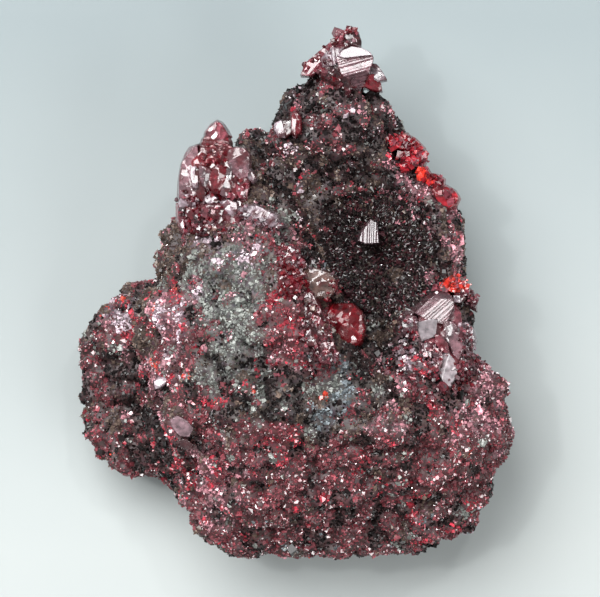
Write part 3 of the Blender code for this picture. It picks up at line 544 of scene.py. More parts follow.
# The bare rock takes the average colour of the grains round it: each kind's colour times its share.
kind_colours = np.array([colour for colour, _ in GRAIN_KINDS.values()])
rock_colours = ROCK_SHADE * (kind_shares(rock) @ kind_colours)
rock_skin = add_mesh("rock_skin", rock, rock_faces, rock_finish, colours=rock_colours)
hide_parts("matrix_rock")


def upper_side(middle, outward):
    """Grains are densest on the upper side and sparse underneath, with none on the flat back."""
    return np.where(outward[:, 2] > -0.15, 1.0, 0.3) * (middle[:, 2] > 0.35)


# Each grain's kind is drawn by luck that clumps: the kind for which log(share) - log(-log(luck)) is
# greatest, where luck is a noise, stretched round its middle and shaken a little.
rng = np.random.default_rng(500)
place, grain_outward = scattered(rng, GRAINS, rock, rock_faces, upper_side)
shares = kind_shares(place)
luck = np.stack([soft_noise(place, KIND_CLUMP_SIZE, 81 + k) for k in range(len(GRAIN_KINDS))], axis=1)
luck = np.clip(0.5 + 1.3 * (luck - 0.5) + 0.22 * (rng.random(shares.shape) - 0.5), 0.01, 0.99)
kind = (np.log(shares) - np.log(-np.log(luck))).argmax(axis=1)
kind_spread = np.array([spread for _, spread in GRAIN_KINDS.values()])
grain_colour = kind_colours[kind] * np.exp(kind_spread[kind] * rng.normal(size=GRAINS))[:, None]
# Painted shade and light: each grain's colour is darkened in the pits between the small lumps and
# brightened on their tops.
crest = np.clip(0.6 + fine_height(place), 0, 1)
grain_colour *= (PAINTED_PIT_SHADE + PAINTED_CREST_LIGHT * crest)[:, None]
grain_size = GRAIN_SIZE * np.exp(GRAIN_SPREAD * rng.normal(size=GRAINS))
for family, chosen, finish in (
    ("rock", np.flatnonzero(kind < ROCK_KINDS), rock_grain_finish),
    ("cinnabar", np.flatnonzero(kind >= ROCK_KINDS), red_grain_finish),
):
    pieces = np.array_split(chosen, math.ceil(len(chosen) / GRAINS_IN_A_PIECE))
    for number, part in enumerate(pieces, 1):
        template, slim = (spindle_corners(4), 0.6) if number % 2 else (block_corners(), 0.8)
        add_grains(
            f"{family}_grains_{number}", place[part], grain_outward[part], grain_size[part],
            grain_colour[part], template, slim, finish, rng,
        )

# --- Summit crystal -----------------------------------------------------------------------------
# The largest single crystal of cinnabar stands on the spire's tip. Its broad top face is ridged by
# growth steps and shines, partly by a painted highlight on its upper part; a granular red ridge runs
# up its left side to a small knob.

ROOT_SLANT = 0.7
CRYSTAL_SHARPNESS = 60.0
CRYSTAL_SWELL = 0.06  # neighbours are this much wider, so that they grow into each other
WINDOW_LEAN = (-0.18, 0.23)  # a facet that leans like this mirrors the window lamp upwards
CHIP_LIFT = 0.9  # chips face up more than down
CHIP_LEAST = 0.88  # the deepest chip cuts at this share of a crystal's reach,
CHIP_SPAN = 0.11  # and the shallowest at this much more
STEP_RISE = 0.6  # the share of a growth step that slopes gently
GRANULE_REACH = 0.22  # a granule rests on what stands this near
GRANULE_UP = (-0.1, 0.15, 1.0)
GRANULE_LEAN = 0.6
UPPER_Z = 0.4 * CREST_Z  # granules and crystals stand above this height alone

# Colours of the crystals: deep red inside, and rose, mauve or grey where a face mirrors the light.
# That mirrored light is painted into the colour: shell and rose are red with some painted
# reflection, mauve and grey are painted reflection, and pale is a painted glint.
DEEP = (0.23, 0.010, 0.020)
DARK = (0.060, 0.006, 0.009)
WINE = (0.20, 0.045, 0.060)
ROSE = (0.33, 0.075, 0.100)
SHELL_AND_PAINTED_SHEEN = (0.24, 0.120, 0.140)
MAUVE_PAINTED_SHEEN = (0.27, 0.165, 0.190)
PALE_PAINTED_GLINT = (0.46, 0.350, 0.395)
GREY_PAINTED_SHEEN = (0.46, 0.395, 0.420)
CLEAR = (0.20, 0.006, 0.012)
RUBY = (0.42, 0.020, 0.032)
BROWN = (0.22, 0.120, 0.100)
FLAME = (0.85, 0.050, 0.030)
CLOUD_COLOUR = (0.13, 0.006, 0.010, 1.0)


def flat_faced(directions, planes):
    """Points of a solid bounded by planes, each (x, y, z, distance): in each direction the surface
    lies at the reach r where the sum over the planes of (cosine to the plane / its distance) **
    sharpness is r ** -sharpness, which is flat on the faces and rounded just at the edges. Also
    gives the number of the plane that each point is nearest to."""
    towards = np.maximum(directions @ planes[:, :3].T, 0.0) / planes[:, 3]
    peak = towards.max(axis=1)
    total = ((towards / peak[:, None]) ** CRYSTAL_SHARPNESS).sum(axis=1)
    return directions / (peak * total ** (1 / CRYSTAL_SHARPNESS))[:, None], towards.argmax(axis=1)


def crystal(outline, height, root, slope, facets, tint, cells=24, steps=None, chips=7, hillocks=1.0):
    """A crystal with flat faces: (points, faces, growth stripe, hillocks, colours). Its walls stand
    on an outline seen from above, leaning in by a slope; facets cut its top, each a plane given by
    its lean to +X, its lean to +Y and its height over the middle; the root ends in a plane that rises
    outward; and small chips cut corners just inside their reach. Steps (direction, pitch, depth) move
    the surface in by a triangle wave of the distance along the direction, made uneven by two sines.
    Each face's colour is the tint times a luck of its own, between 0.5 and 1.5, times 0.6 to 1.4 by
    noise. Hillocks say how bumpy and cloudy the faces look: 0 is smooth and clear."""
    outline = np.array(outline, float)
    middle = np.array([*outline.mean(axis=0), height])
    after = np.roll(outline, -1, axis=0) - outline
    walls = np.stack([after[:, 1], -after[:, 0]], axis=1)
    walls /= np.linalg.norm(walls, axis=1, keepdims=True)
    away = ((outline - middle[:2]) * walls).sum(axis=1)
    walls, away = walls * np.sign(away)[:, None], np.abs(away) + CRYSTAL_SWELL
    from_rock = middle[:2] - (CENTRE_X, CENTRE_Y)
    planes = [(*wall, slope, gap) for wall, gap in zip(walls, away)]
    planes += [(lean_x, lean_y, 1.0, rise) for lean_x, lean_y, rise in facets]
    planes += [(*(ROOT_SLANT * from_rock / np.linalg.norm(from_rock)), -1.0, root)]
    planes = np.array(planes)
    directions, faces = ball_grid(cells)
    spread = directions * (*np.abs(outline - middle[:2]).max(axis=0), max(root, facets[0][2]))
    form, _ = flat_faced(spread, planes)
    rng = np.random.default_rng(int(abs(outline.sum()) * 100))
    lean = rng.normal(size=(chips, 3)) + (0, 0, CHIP_LIFT)
    lean /= np.linalg.norm(lean, axis=1, keepdims=True)
    limit = (form @ lean.T).max(axis=0) * (CHIP_LEAST + CHIP_SPAN * rng.random(chips))
    form, nearest = flat_faced(spread, np.concatenate([planes, np.column_stack([lean, limit])]))
    points = middle + form
    stripe = np.zeros(len(points))
    if steps:
        along, pitch, depth = steps
        stripe = points @ (np.array(along, float) / np.linalg.norm(along))
        phase = (stripe / pitch + 0.6 * np.sin(2.3 * stripe) + 0.3 * np.sin(5.9 * stripe + 1)) % 1.0
        notch = depth * np.minimum(phase / STEP_RISE, (1.0 - phase) / (1 - STEP_RISE))
        points = points - corner_normals(points, faces) * notch[:, None]
    luck = 0.5 + rng.random(len(planes) + chips)
    mottle = 0.6 + 0.8 * soft_noise(points, 0.6, 91)
    hillocks = np.full(len(points), hillocks)
    return points, faces, stripe, hillocks, np.array(tint) * (luck[nearest] * mottle)[:, None]


def add_crystals(name, crystals, finish):
    """One piece of several crystals grown into each other."""
    points, faces, stripes, hillocks, colours = zip(*crystals)
    starts = np.cumsum([0] + [len(form) for form in points[:-1]])
    faces = np.concatenate([part + start for part, start in zip(faces, starts)])
    made = add_mesh(
        name, np.concatenate(points), faces, finish, smooth=False, colours=np.concatenate(colours)
    )
    for trait, values in (("stripe", stripes), ("hillocks", hillocks)):
        stored = made.data.attributes.new(trait, "FLOAT", "POINT")
        stored.data.foreach_set("value", np.concatenate(values).astype(np.float32))
    return made


def add_granules(name, groups, crystals, finish, seed):
    """Angular little crystals heaped on the rock and on the larger crystals. Each group is (spots,
    how many at each spot, how far they scatter, size, colours): their places are the spots plus
    normal scatter, at the height of the highest corner within GRANULE_REACH, and each is a block
    with its corners shaken."""
    ground = np.concatenate([rock] + [form[0] for form in crystals])
    ground = ground[ground[:, 2] > UPPER_Z]
    rng = np.random.default_rng(seed)
    places, sizes, tints = [], [], []
    for spots, count, scatter, size, colours in groups:
        flat = np.repeat(np.array(spots, float), count, axis=0)
        flat = flat + scatter * rng.normal(size=flat.shape)
        gap = np.hypot(*(ground[None, :, :2] - flat[:, None]).transpose(2, 0, 1))
        top = np.where(gap < GRANULE_REACH, ground[:, 2], 0).max(axis=1)
        places.append(np.column_stack([flat, top])[top > 0])
        sizes.append(size * np.exp(0.3 * rng.normal(size=(top > 0).sum())))
        chosen = np.array(colours)[rng.integers(len(colours), size=len(flat))]
        tints.append((chosen * (0.4 + 1.1 * rng.random((len(flat), 1))))[top > 0])
    place, size, tint = np.concatenate(places), np.concatenate(sizes), np.concatenate(tints)
    up = np.tile(GRANULE_UP, (len(place), 1))
    thick = 0.7 + 0.4 * rng.random(len(place))
    template = block_corners()
    points, faces = grown_grains(place, up, size, thick, GRANULE_LEAN, template, rng)
    colours = np.repeat(tint, len(template[0]), axis=0)
    made = add_mesh(name, points, faces, finish, smooth=False, colours=colours)
    return made


def crystal_surface():
    """Node group of the crystals' looks: the piece's own tint, mottled, with deep red clouds in it;
    veils that dull it in patches; and a normal turned by a random vector for each cell of a cell
    pattern, so that growth hillocks break a face up, with fine ridges along its stripes."""
    outputs = {"Color": "Color", "Roughness": "Float", "Normal": "Vector"}
    group, nodes, entry, leave = new_group("crystal_surface", {"Roughness": "Float"}, outputs)
    place = add_node(nodes, "TexCoord")["Object"]
    tint = add_node(nodes, "Attribute", attribute_name="tint")["Color"]
    stripe = add_node(nodes, "Attribute", attribute_name="stripe")["Fac"]
    hillocks = add_node(nodes, "Attribute", attribute_name="hillocks")["Fac"]
    veils = add_node(nodes, "TexNoise", {"Vector": place, "Scale": 1100.0, "Detail": 4.0})["Fac"]
    sockets = {"Color": tint, "Scale": 2600.0, "Low": 0.5, "High": 1.4}
    mottled = add_node(nodes, "Group", sockets, node_tree=mottling)["Color"]
    sockets = {"Value": veils, "From Min": 0.50, "From Max": 0.62, "To Max": 0.75}
    cloud = add_node(nodes, "MapRange", sockets)["Result"]
    clouded = add_node(nodes, "Math", {0: cloud, 1: hillocks}, operation="MULTIPLY")["Value"]
    sockets = {"Factor": clouded, "A": mottled, "B": CLOUD_COLOUR}
    colour = add_node(nodes, "Mix", sockets, data_type="RGBA")["Result"]
    sockets = {0: veils, 1: 0.25, 2: entry["Roughness"]}
    dulled = add_node(nodes, "Math", sockets, operation="MULTIPLY_ADD")["Value"]
    cells = add_node(nodes, "TexVoronoi", {"Vector": place, "Scale": 2600.0})["Color"]
    tilt = add_node(nodes, "VectorMath", {0: cells, 1: (0.5, 0.5, 0.5)}, operation="SUBTRACT")["Vector"]
    steep = add_node(nodes, "Math", {0: hillocks, 1: 0.45}, operation="MULTIPLY")["Value"]
    tilt = add_node(nodes, "VectorMath", {0: tilt, "Scale": steep}, operation="SCALE")["Vector"]
    face = add_node(nodes, "NewGeometry")["Normal"]
    turned = add_node(nodes, "VectorMath", {0: face, 1: tilt}, operation="ADD")["Vector"]
    sockets = {"W": stripe, "Scale": 7.0, "Detail": 3.0}
    ridges = add_node(nodes, "TexNoise", sockets, noise_dimensions="1D")["Fac"]
    rough = add_node(nodes, "Math", {0: veils, 1: 1.5, 2: ridges}, operation="MULTIPLY_ADD")["Value"]
    sockets = {"Strength": 0.5, "Distance": 0.00006, "Height": rough, "Normal": turned}
    bump = add_node(nodes, "Bump", sockets)["Normal"]
    feed(leave, {"Color": colour, "Roughness": dulled, "Normal": bump})
    return group


def cinnabar(name, transmission, roughness, ior):
    """Cinnabar crystal: the crystal surface over a partly clear body."""
    finish, nodes, shader = new_material(name)
    surface = add_node(nodes, "Group", {"Roughness": roughness}, node_tree=crystal_looks)
    looks = {"Base Color": surface["Color"], "Roughness": surface["Roughness"]}
    feed(shader, {**looks, "Normal": surface["Normal"], "IOR": ior, "Transmission Weight": transmission})
    return finish


crystal_looks = crystal_surface()
crystal_finish = cinnabar("cinnabar", transmission=0.5, roughness=0.06, ior=1.85)
red_crystal_finish = cinnabar("red_cinnabar", transmission=0.4, roughness=0.08, ior=1.55)

SUMMIT = [
    # bed
    crystal([(2.05, 17.3), (2.7, 18.2), (3.7, 18.8), (4.6, 18.7), (5.55, 17.6), (6.2, 16.4), (5.5, 15.7),
        (4.15, 15.5), (2.85, 16.25)],
        10.9, 1.8, 0.05, [(0.13, 0.15, 0.8)], DEEP, cells=20, chips=0),
    # main
    crystal([(2.95, 17.75), (3.3, 18.25), (4.05, 18.55), (4.9, 18.4), (5.65, 17.95), (5.8, 17.35),
        (5.35, 16.55), (5.05, 15.65), (4.5, 15.2), (4.05, 15.5), (3.25, 16.7)],
        11.6, 2.4, 0.02, [(-0.12, 0, 1.2), (0.1, -0.9, 1.6)], SHELL_AND_PAINTED_SHEEN, cells=70,
        steps=((-0.27, 0.96, 0), 0.26, 0.04), chips=3, hillocks=0.12),
    # striated
    crystal([(1.75, 17.6), (2.2, 18.2), (2.7, 18.55), (3.4, 18.5), (3.25, 17.9), (2.85, 17.2),
        (1.95, 17.05)],
        11.4, 2.2, 0.02, [(0.1, 0.22, 0.9)], PALE_PAINTED_GLINT, cells=44, steps=((-1, -0.1, 0), 0.3, 0.05)),
    # knob
    crystal([(3.45, 19.4), (4, 19.75), (4.6, 19.7), (4.8, 19), (4.75, 18.5), (4, 18.25), (3.55, 18.5)],
        11.2, 2, 0.02, [(0.2, 0.2, 0.9), (-0.5, 0.3, 0.9), (0.1, -0.6, 1)], DARK),
    # under
    crystal([(1.6, 16.85), (2.05, 17.15), (2.7, 17.05), (3.3, 16.6), (3.9, 16.15), (4.15, 15.4),
        (3.75, 15.2), (2.5, 15.85), (1.75, 16.3)],
        11.8, 1.6, 0.07, [(-0.1, -0.3, 0.9), (0.3, 0.3, 0.95)], DARK),
    # white
    crystal([(5.4, 17.35), (5.9, 17.35), (6.35, 16.75), (6.7, 16.15), (6.05, 16), (5.5, 16.45)],
        11, 1.6, 0.01, [(*WINDOW_LEAN, 0.8), (0.5, -0.3, 1.1)], PALE_PAINTED_GLINT),
    # wedge
    crystal([(5.25, 16.45), (5.75, 16.55), (6.25, 15.85), (6.35, 15.35), (5.65, 15.4), (5.1, 15.65)],
        11, 2, 0.02, [(-0.1, -0.5, 0.9), (0.5, 0.1, 0.9)], DEEP),
    # ridge
    crystal([(0.3, 16.55), (0.7, 17.45), (2.2, 18.7), (3.75, 20), (4.35, 20.1), (4.5, 19.6), (2.2, 17.3),
        (1.2, 16.45)],
        10.9, 1.3, 0.02, [(-0.3, 0.3, 0.8), (0.4, -0.3, 0.8)], ROSE),
    # bright: a pale cap raised over the upper part of the main face, a painted highlight
    crystal([(3.1, 17.9), (3.4, 18.25), (4.05, 18.55), (4.8, 18.45), (5.4, 18.15), (5.55, 17.95),
        (4.45, 17.85), (3.6, 17.75)],
        11.9, 1.5, 0.02, [(-0.16, 0.19, 1.16)], PALE_PAINTED_GLINT, cells=30, chips=2, hillocks=0.1),
]
summit = add_crystals("summit_crystal_dressed", SUMMIT, crystal_finish)
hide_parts("summit_crystal")
add_granules("summit_granules", [
    ([(0.7, 17.15), (1.2, 17.6), (1.75, 17.95), (2.25, 18.5), (2.8, 19.1), (3.3, 19.55), (3.85, 19.85),
      (4.3, 19.85)], 9, 0.14, 0.13, [ROSE, CLEAR, DEEP, WINE]),
    ([(1.9, 16.7), (2.5, 16.25), (3.25, 15.65), (4, 15.2)], 7, 0.2, 0.14, [DARK, DEEP, WINE]),
    ([(2.2, 17.3), (2.65, 17.75), (3.7, 18.8), (4.45, 18.95)], 3, 0.15, 0.1, [SHELL_AND_PAINTED_SHEEN, WINE]),
], SUMMIT, crystal_finish, seed=41)

# --- Left crystal cluster ------------------------------------------------------------------------
# A finger, a thin blade and a flat-topped prism stand side by side on a red block with V-shaped
# faces, over a low pale apron. All are cinnabar, grown into each other at the foot.

LEFT_CLUSTER = [
    # bed
    crystal([(-7.15, 10.8), (-6.5, 11.55), (-5.35, 11.55), (-4.6, 10.8), (-3.75, 10.05), (-3.55, 8.55),
        (-3.75, 6.9), (-4.75, 5.85), (-6.7, 5.85), (-7.9, 6.75), (-8.35, 8.25), (-8.05, 9.9)],
        12.6, 1.8, 0.05, [(-0.32, -0.12, 0.85), (0.1, -0.04, 0.8)], DEEP, cells=36, chips=12,
        hillocks=1.5),
    # finger
    crystal([(-6.85, 12), (-7.15, 11.4), (-7.3, 10.8), (-7.25, 10.15), (-6.7, 9.75), (-5.65, 9.75),
        (-5.05, 10.2), (-4.95, 10.95), (-5.1, 11.8), (-5.8, 12.15)],
        12.6, 2, 0.09, [(-0.35, 0.05, 1.05), (0.3, -0.1, 1.1), (-0.1, -0.5, 1.35)], DEEP,
        steps=((0.1, 1, 0), 0.5, 0.05), chips=9),
    # tip
    crystal([(-5.95, 13), (-6.4, 12.7), (-6.8, 12.15), (-6.85, 11.7), (-6.35, 11.5), (-5.55, 11.55),
        (-5.1, 11.95), (-5.35, 12.45), (-5.65, 12.85)],
        12.9, 1.6, 0.1, [(-0.45, -0.12, 0.85), (0.35, 0.12, 0.95)], ROSE),
    # blade
    crystal([(-7.45, 11.25), (-8, 11.05), (-8.35, 10.5), (-8.65, 9.7), (-8.8, 8.7), (-8.8, 7.2),
        (-8.2, 6.8), (-7.6, 7.2), (-7.3, 8.1), (-7.25, 9.45)],
        12, 2.2, 0.07, [(-0.4, -0.05, 1.05), (0.25, 0.1, 1)], SHELL_AND_PAINTED_SHEEN, cells=36),
    # strip
    crystal([(-7.85, 9.6), (-7.55, 9.6), (-7.4, 8.7), (-7.4, 7.95), (-7.75, 8.1), (-7.9, 8.85)],
        12.8, 1.4, 0.05, [(*WINDOW_LEAN, 0.7)], PALE_PAINTED_GLINT),
    # prism
    crystal([(-5.1, 10.8), (-4.6, 11.05), (-3.85, 10.95), (-3.55, 10.5), (-3.55, 9.6), (-3.7, 8.85),
        (-4.3, 8.65), (-4.9, 9.3), (-5.2, 10.05)],
        13, 2.2, 0.05, [(-0.18, 0.3, 1.35), (0.05, -0.35, 1.1)], SHELL_AND_PAINTED_SHEEN, cells=40),
    # foot
    crystal([(-4.45, 8.8), (-3.7, 8.8), (-3.55, 8.1), (-3.75, 7.2), (-4.35, 7.2), (-4.6, 7.95)],
        12.7, 2, 0.1, [(0.3, -0.1, 1), (-0.4, -0.1, 1.05)], ROSE),
    # corner
    crystal([(-3.7, 9.45), (-3.45, 9.4), (-3, 8.7), (-3.3, 8.4), (-3.7, 8.7)],
        12.6, 1.4, 0.1, [(*WINDOW_LEAN, 0.7)], PALE_PAINTED_GLINT, cells=16),
    # v left
    crystal([(-7.3, 9.7), (-6.7, 9.6), (-6.35, 9.3), (-6.35, 8.4), (-6.55, 7.8), (-7, 8.1), (-7.3, 8.85)],
        13.1, 2, 0.1, [(0.35, -0.25, 1), (-0.4, 0, 1.1)], SHELL_AND_PAINTED_SHEEN),
    # v right
    crystal([(-6.4, 9.45), (-5.9, 9.75), (-5.2, 9.6), (-5.25, 8.55), (-5.55, 7.55), (-6.25, 7.5),
        (-6.65, 8.25)],
        13.2, 2, 0.1, [(-0.4, -0.1, 1.1), (0.45, -0.15, 1.15)], DEEP),
    # gap left
    crystal([(-7.6, 9.45), (-7.3, 9.6), (-6.95, 8.55), (-6.8, 7.5), (-7, 6.9), (-7.45, 7.2), (-7.6, 8.25)],
        12.5, 1.8, 0.05, [(-0.2, -0.2, 0.9)], DARK),
    # band
    crystal([(-5.35, 9.45), (-4.9, 9.6), (-4.75, 8.7), (-4.9, 7.8), (-5.4, 7.35), (-5.75, 7.5)],
        13.2, 1.8, 0.07, [(-0.04, 0.02, 0.9), (0.6, 0, 1.1)], SHELL_AND_PAINTED_SHEEN),
    # gap right
    crystal([(-4.95, 9.6), (-4.45, 9.45), (-4.3, 8.3), (-4.45, 7.2), (-5.05, 7.05), (-5.1, 7.95)],
        12.7, 1.8, 0.05, [(0.1, -0.1, 0.9)], DEEP),
    # glint
    crystal([(-6.8, 7.25), (-6.4, 7.5), (-5.95, 7.25), (-6.05, 6.95), (-6.5, 6.75), (-6.85, 6.95)],
        13.9, 1.2, 0.1, [(*WINDOW_LEAN, 0.6)], PALE_PAINTED_GLINT, cells=16),
    # lavender
    crystal([(-5.75, 6.95), (-5.05, 7.1), (-4.5, 6.9), (-4.35, 6.3), (-4.8, 5.85), (-5.35, 6.15)],
        14.1, 1.4, 0.1, [(*WINDOW_LEAN, 0.7), (-0.05, -0.4, 0.85)], PALE_PAINTED_GLINT),
    # apron
    crystal([(-7.3, 6.65), (-6.25, 6.95), (-5.2, 6.8), (-4.3, 6.2), (-4.15, 5.55), (-4.8, 5), (-6.25, 4.95),
        (-7.1, 5.45)],
        13.7, 2.2, 0.1, [(-0.1, -0.3, 0.95), (0.2, -0.2, 1)], WINE, cells=36, chips=22, hillocks=1.5),
    # cheek
    crystal([(-8.95, 6.8), (-8.6, 6.75), (-8.35, 6), (-8.3, 4.7), (-8.6, 4.85), (-8.9, 5.7)],
        11.9, 1.8, 0.1, [(-0.4, -0.1, 1)], ROSE),
    # heel
    crystal([(-8.5, 6.9), (-7.9, 6.8), (-7, 6.15), (-6.4, 5.3), (-6.35, 4.5), (-7.1, 4.4), (-8.2, 4.7)],
        12.4, 2, 0.09, [(-0.2, -0.35, 1), (0.3, 0.1, 1.05)], DEEP, chips=22, hillocks=1.5),
    # spike
    crystal([(-4.6, 6.45), (-3.1, 6.75), (-2.2, 6.35), (-1.45, 5.85), (-1.05, 5.25), (-1.9, 5.1),
        (-3.1, 5.45), (-4.35, 5.85)],
        14, 2, 0.1, [(*WINDOW_LEAN, 0.75), (0.1, -0.6, 1)], PALE_PAINTED_GLINT, cells=40,
        steps=((1, -0.5, 0), 0.5, 0.06)),
]
left_cluster = add_crystals("left_crystal_cluster_dressed", LEFT_CLUSTER, crystal_finish)
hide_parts("left_crystal_cluster")
add_granules("left_granules", [
    ([(-8.5, 7.5), (-8.05, 7.2), (-7.55, 6.9), (-8.35, 6.8)], 12, 0.26, 0.14, [ROSE, DEEP, SHELL_AND_PAINTED_SHEEN, PALE_PAINTED_GLINT]),
    ([(-3.9, 6.3), (-3.55, 5.85), (-2.95, 5.55), (-2.35, 5.25), (-1.65, 5.1)], 12, 0.28, 0.12,
      [PALE_PAINTED_GLINT, ROSE, WINE, SHELL_AND_PAINTED_SHEEN]),
    ([(-7.6, 6.15), (-6.85, 5.25), (-6.25, 4.8), (-5.5, 4.8), (-4.75, 4.95)], 8, 0.3, 0.14,
      [DEEP, WINE, SHELL_AND_PAINTED_SHEEN, BROWN]),
    ([(-6.7, 10.95), (-6.1, 10.65), (-5.65, 10.2), (-6.85, 10.05)], 7, 0.25, 0.13, [DEEP, DEEP, ROSE]),
    ([(-4.3, 8.55), (-4, 7.8), (-4.9, 7.5), (-6.4, 7.35)], 6, 0.25, 0.12, [ROSE, DEEP, SHELL_AND_PAINTED_SHEEN]),
    ([(-8.05, 6.3), (-7.55, 5.7), (-6.85, 6.15), (-6.35, 5.6), (-5.75, 6.2), (-7.6, 5), (-8.2, 5.55),
      (-7, 5.25)], 11, 0.34, 0.16, [WINE, SHELL_AND_PAINTED_SHEEN, DEEP, ROSE, DARK]),
], LEFT_CLUSTER, crystal_finish, seed=42)

# --- Notch crystal -------------------------------------------------------------------------------
# A bright white-faced crystal and a dark red one of cinnabar, side by side in the notch beside the
# spire, rooted in the rock. The white face mirrors the window lamp, and its pale colour is a painted
# glint.

NOTCH = [
    # white
    crystal([(-1.65, 12.85), (-1.2, 13.05), (-0.7, 12.25), (-0.9, 11.85), (-1.35, 11.85), (-1.65, 12.4)],
        11.3, 2, 0.02, [(*WINDOW_LEAN, 0.8), (0.1, -0.8, 1.1)], PALE_PAINTED_GLINT, cells=20),
    # dark
    crystal([(-1.15, 13.15), (-0.45, 13.15), (-0.3, 12.1), (-0.85, 11.85)],
        11.5, 1.6, 0.1, [(-0.1, 0.1, 0.8)], DARK, cells=16),
    # red
    crystal([(-0.4, 13.65), (0, 13.8), (0.3, 13.3), (0.3, 12.25), (-0.1, 11.85), (-0.45, 12.15)],
        12.2, 2, 0.1, [(-0.4, 0.1, 0.8), (0.4, 0, 0.8)], DEEP, cells=24),
]
notch = add_crystals("notch_crystal_dressed", NOTCH, crystal_finish)
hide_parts("notch_crystal")

# --- Rim crystal cluster -------------------------------------------------------------------------
# Rose-red cinnabar grains are packed along the hollow's upper right rim, and a chain of rounded red
# crystals leads from them to one clear gem.

RIM = [
    # pink left
    crystal([(7.1, 11.7), (7.55, 12), (8.3, 12.1), (8.65, 11.55), (8.35, 10.95), (7.45, 11.05)],
        9.6, 2.2, 0.1, [(-0.2, 0.2, 0.7), (0.3, -0.2, 0.75)], RUBY),
    # pink right
    crystal([(8.35, 11.95), (8.95, 11.65), (9.5, 11.05), (9.65, 10.2), (9.25, 9.6), (8.6, 10.35)],
        9.2, 2.8, 0.1, [(-0.2, 0.2, 0.7), (0.4, -0.1, 0.75)], RUBY),
    # dark
    crystal([(7.75, 10.8), (8.5, 10.9), (8.9, 10.2), (8.65, 9.55), (7.9, 9.7)],
        9.7, 1.8, 0.1, [(-0.2, -0.2, 0.7), (0.2, 0.3, 0.75)], DEEP),
    # red
    crystal([(9.2, 9.6), (9.8, 9.55), (10.15, 8.85), (9.85, 8.45), (9.35, 8.95)],
        9.4, 2, 0.1, [(-0.2, 0.2, 0.7), (0.4, -0.1, 0.75)], FLAME),
    # link
    crystal([(10, 8.95), (10.6, 9), (11.05, 8.7), (11, 8.15), (10.3, 8)],
        9.5, 2, 0.1, [(-0.3, 0.3, 0.6), (0.4, 0.2, 0.65), (0, -0.4, 0.7)], RUBY),
    # gem
    crystal([(10.15, 7.95), (10.6, 8.25), (11.3, 8.15), (11.9, 7.8), (12.2, 7.25), (12, 6.8), (11.45, 6.6),
        (10.9, 6.8), (10.45, 7.25)],
        9.6, 2.2, 0.1, [(0.05, 0.35, 0.8), (0.35, 0.2, 0.85), (-0.1, -0.35, 0.85)], RUBY, cells=36,
        hillocks=0.7),
]
rim_cluster = add_crystals("rim_crystal_cluster_dressed", RIM, red_crystal_finish)
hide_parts("rim_crystal_cluster")
add_granules("rim_granules", [
    ([(7.25, 11.55), (7.7, 11.7), (8.2, 11.7), (8.65, 11.25), (9.1, 10.9), (9.4, 10.35), (9.25, 9.9)], 18,
      0.24, 0.14, [RUBY, ROSE, ROSE, RUBY]),
    ([(8.05, 10.5), (8.5, 10.05), (8.15, 9.75)], 12, 0.28, 0.15, [RUBY, DEEP]),
    ([(9.4, 9.3), (9.8, 9), (10, 8.65)], 8, 0.2, 0.17, [RUBY, FLAME, RUBY]),
    ([(10.45, 8.65), (10.85, 8.55), (11.2, 7.8), (11.7, 7.35)], 8, 0.22, 0.16, [RUBY, DEEP, ROSE]),
], RIM, red_crystal_finish, seed=43)

# --- Centre crystal cluster ----------------------------------------------------------------------
# A crimson mass of cinnabar with the broken end of a brown-grey translucent prism beside it, a blade
# below, and granular red crystals at its foot.

CENTRE = [
    # crimson
    crystal([(-1.45, 3.3), (-1.05, 3.6), (-0.55, 3.5), (0.1, 3.05), (0.55, 2.5), (0.45, 1.75), (-0.1, 1.4),
        (-0.85, 1.55), (-1.35, 2.15)],
        15.3, 2, 0.1, [(-0.19, 0.23, 0.9), (0.4, 0.2, 0.95), (-0.1, -0.4, 1)], DEEP, cells=36,
        steps=((0.8, 0.6, 0), 0.6, 0.08)),
    # crimson low
    crystal([(-1.3, 1.45), (-0.4, 1.6), (0.55, 1.55), (0.55, 0.85), (0.1, 0.2), (-0.75, -0.2),
        (-1.35, 0.1)],
        16.3, 1.8, 0.1, [(0.35, 0.1, 0.8), (-0.3, -0.3, 0.85)], DEEP),
    # prism
    crystal([(0.45, 1.85), (1.15, 2.05), (1.95, 1.85), (2.65, 1.55), (2.85, 0.85), (2.7, 0.2), (2.25, -0.2),
        (1.45, -0.25), (0.9, 0.1), (0.55, 0.85)],
        14.7, 2.4, 0.04, [(0.1, -0.1, 1.3), (-0.22, 0.45, 1.63)], BROWN, cells=44, chips=4),
    # prism edge
    crystal([(2.5, 1.3), (2.95, 1.1), (3, 0.35), (2.55, 0.05), (2.35, 0.7)],
        13.6, 1.6, 0.05, [(0.3, 0, 0.9)], DEEP, cells=18),
    # bridge
    crystal([(0.25, 0.5), (1.05, 0.35), (1.6, -0.55), (1.6, -1.55), (0.85, -2), (0.3, -1.25)],
        16.1, 1.8, 0.1, [(-0.2, 0.2, 0.7), (0.4, -0.2, 0.75)], WINE),
    # blade
    crystal([(1.3, -0.8), (1.65, -0.85), (2.1, -1.85), (2.35, -2.9), (2.1, -3.5), (1.5, -3.15),
        (1.05, -2.15), (1.05, -1.3)],
        16.2, 1.8, 0.05, [(-0.4, 0.2, 0.8), (0.35, 0, 0.8), (0, -0.4, 1)], ROSE),
    # dark
    crystal([(0.4, -1.7), (1.05, -1.7), (1.5, -2.6), (1.65, -3.65), (0.9, -3.9), (0.3, -2.9)],
        16.8, 1.6, 0.1, [(-0.2, -0.1, 0.8), (0.3, 0.2, 0.8)], DARK),
    # rosy
    crystal([(1.05, -3.75), (1.8, -3.35), (2.7, -3.6), (3, -4.4), (2.85, -5.1), (1.8, -5), (1.15, -4.4)],
        16.5, 1.8, 0.1, [(-0.2, 0.2, 0.8), (0.2, -0.4, 0.85)], WINE),
]
centre_cluster = add_crystals("centre_crystal_cluster_dressed", CENTRE, crystal_finish)
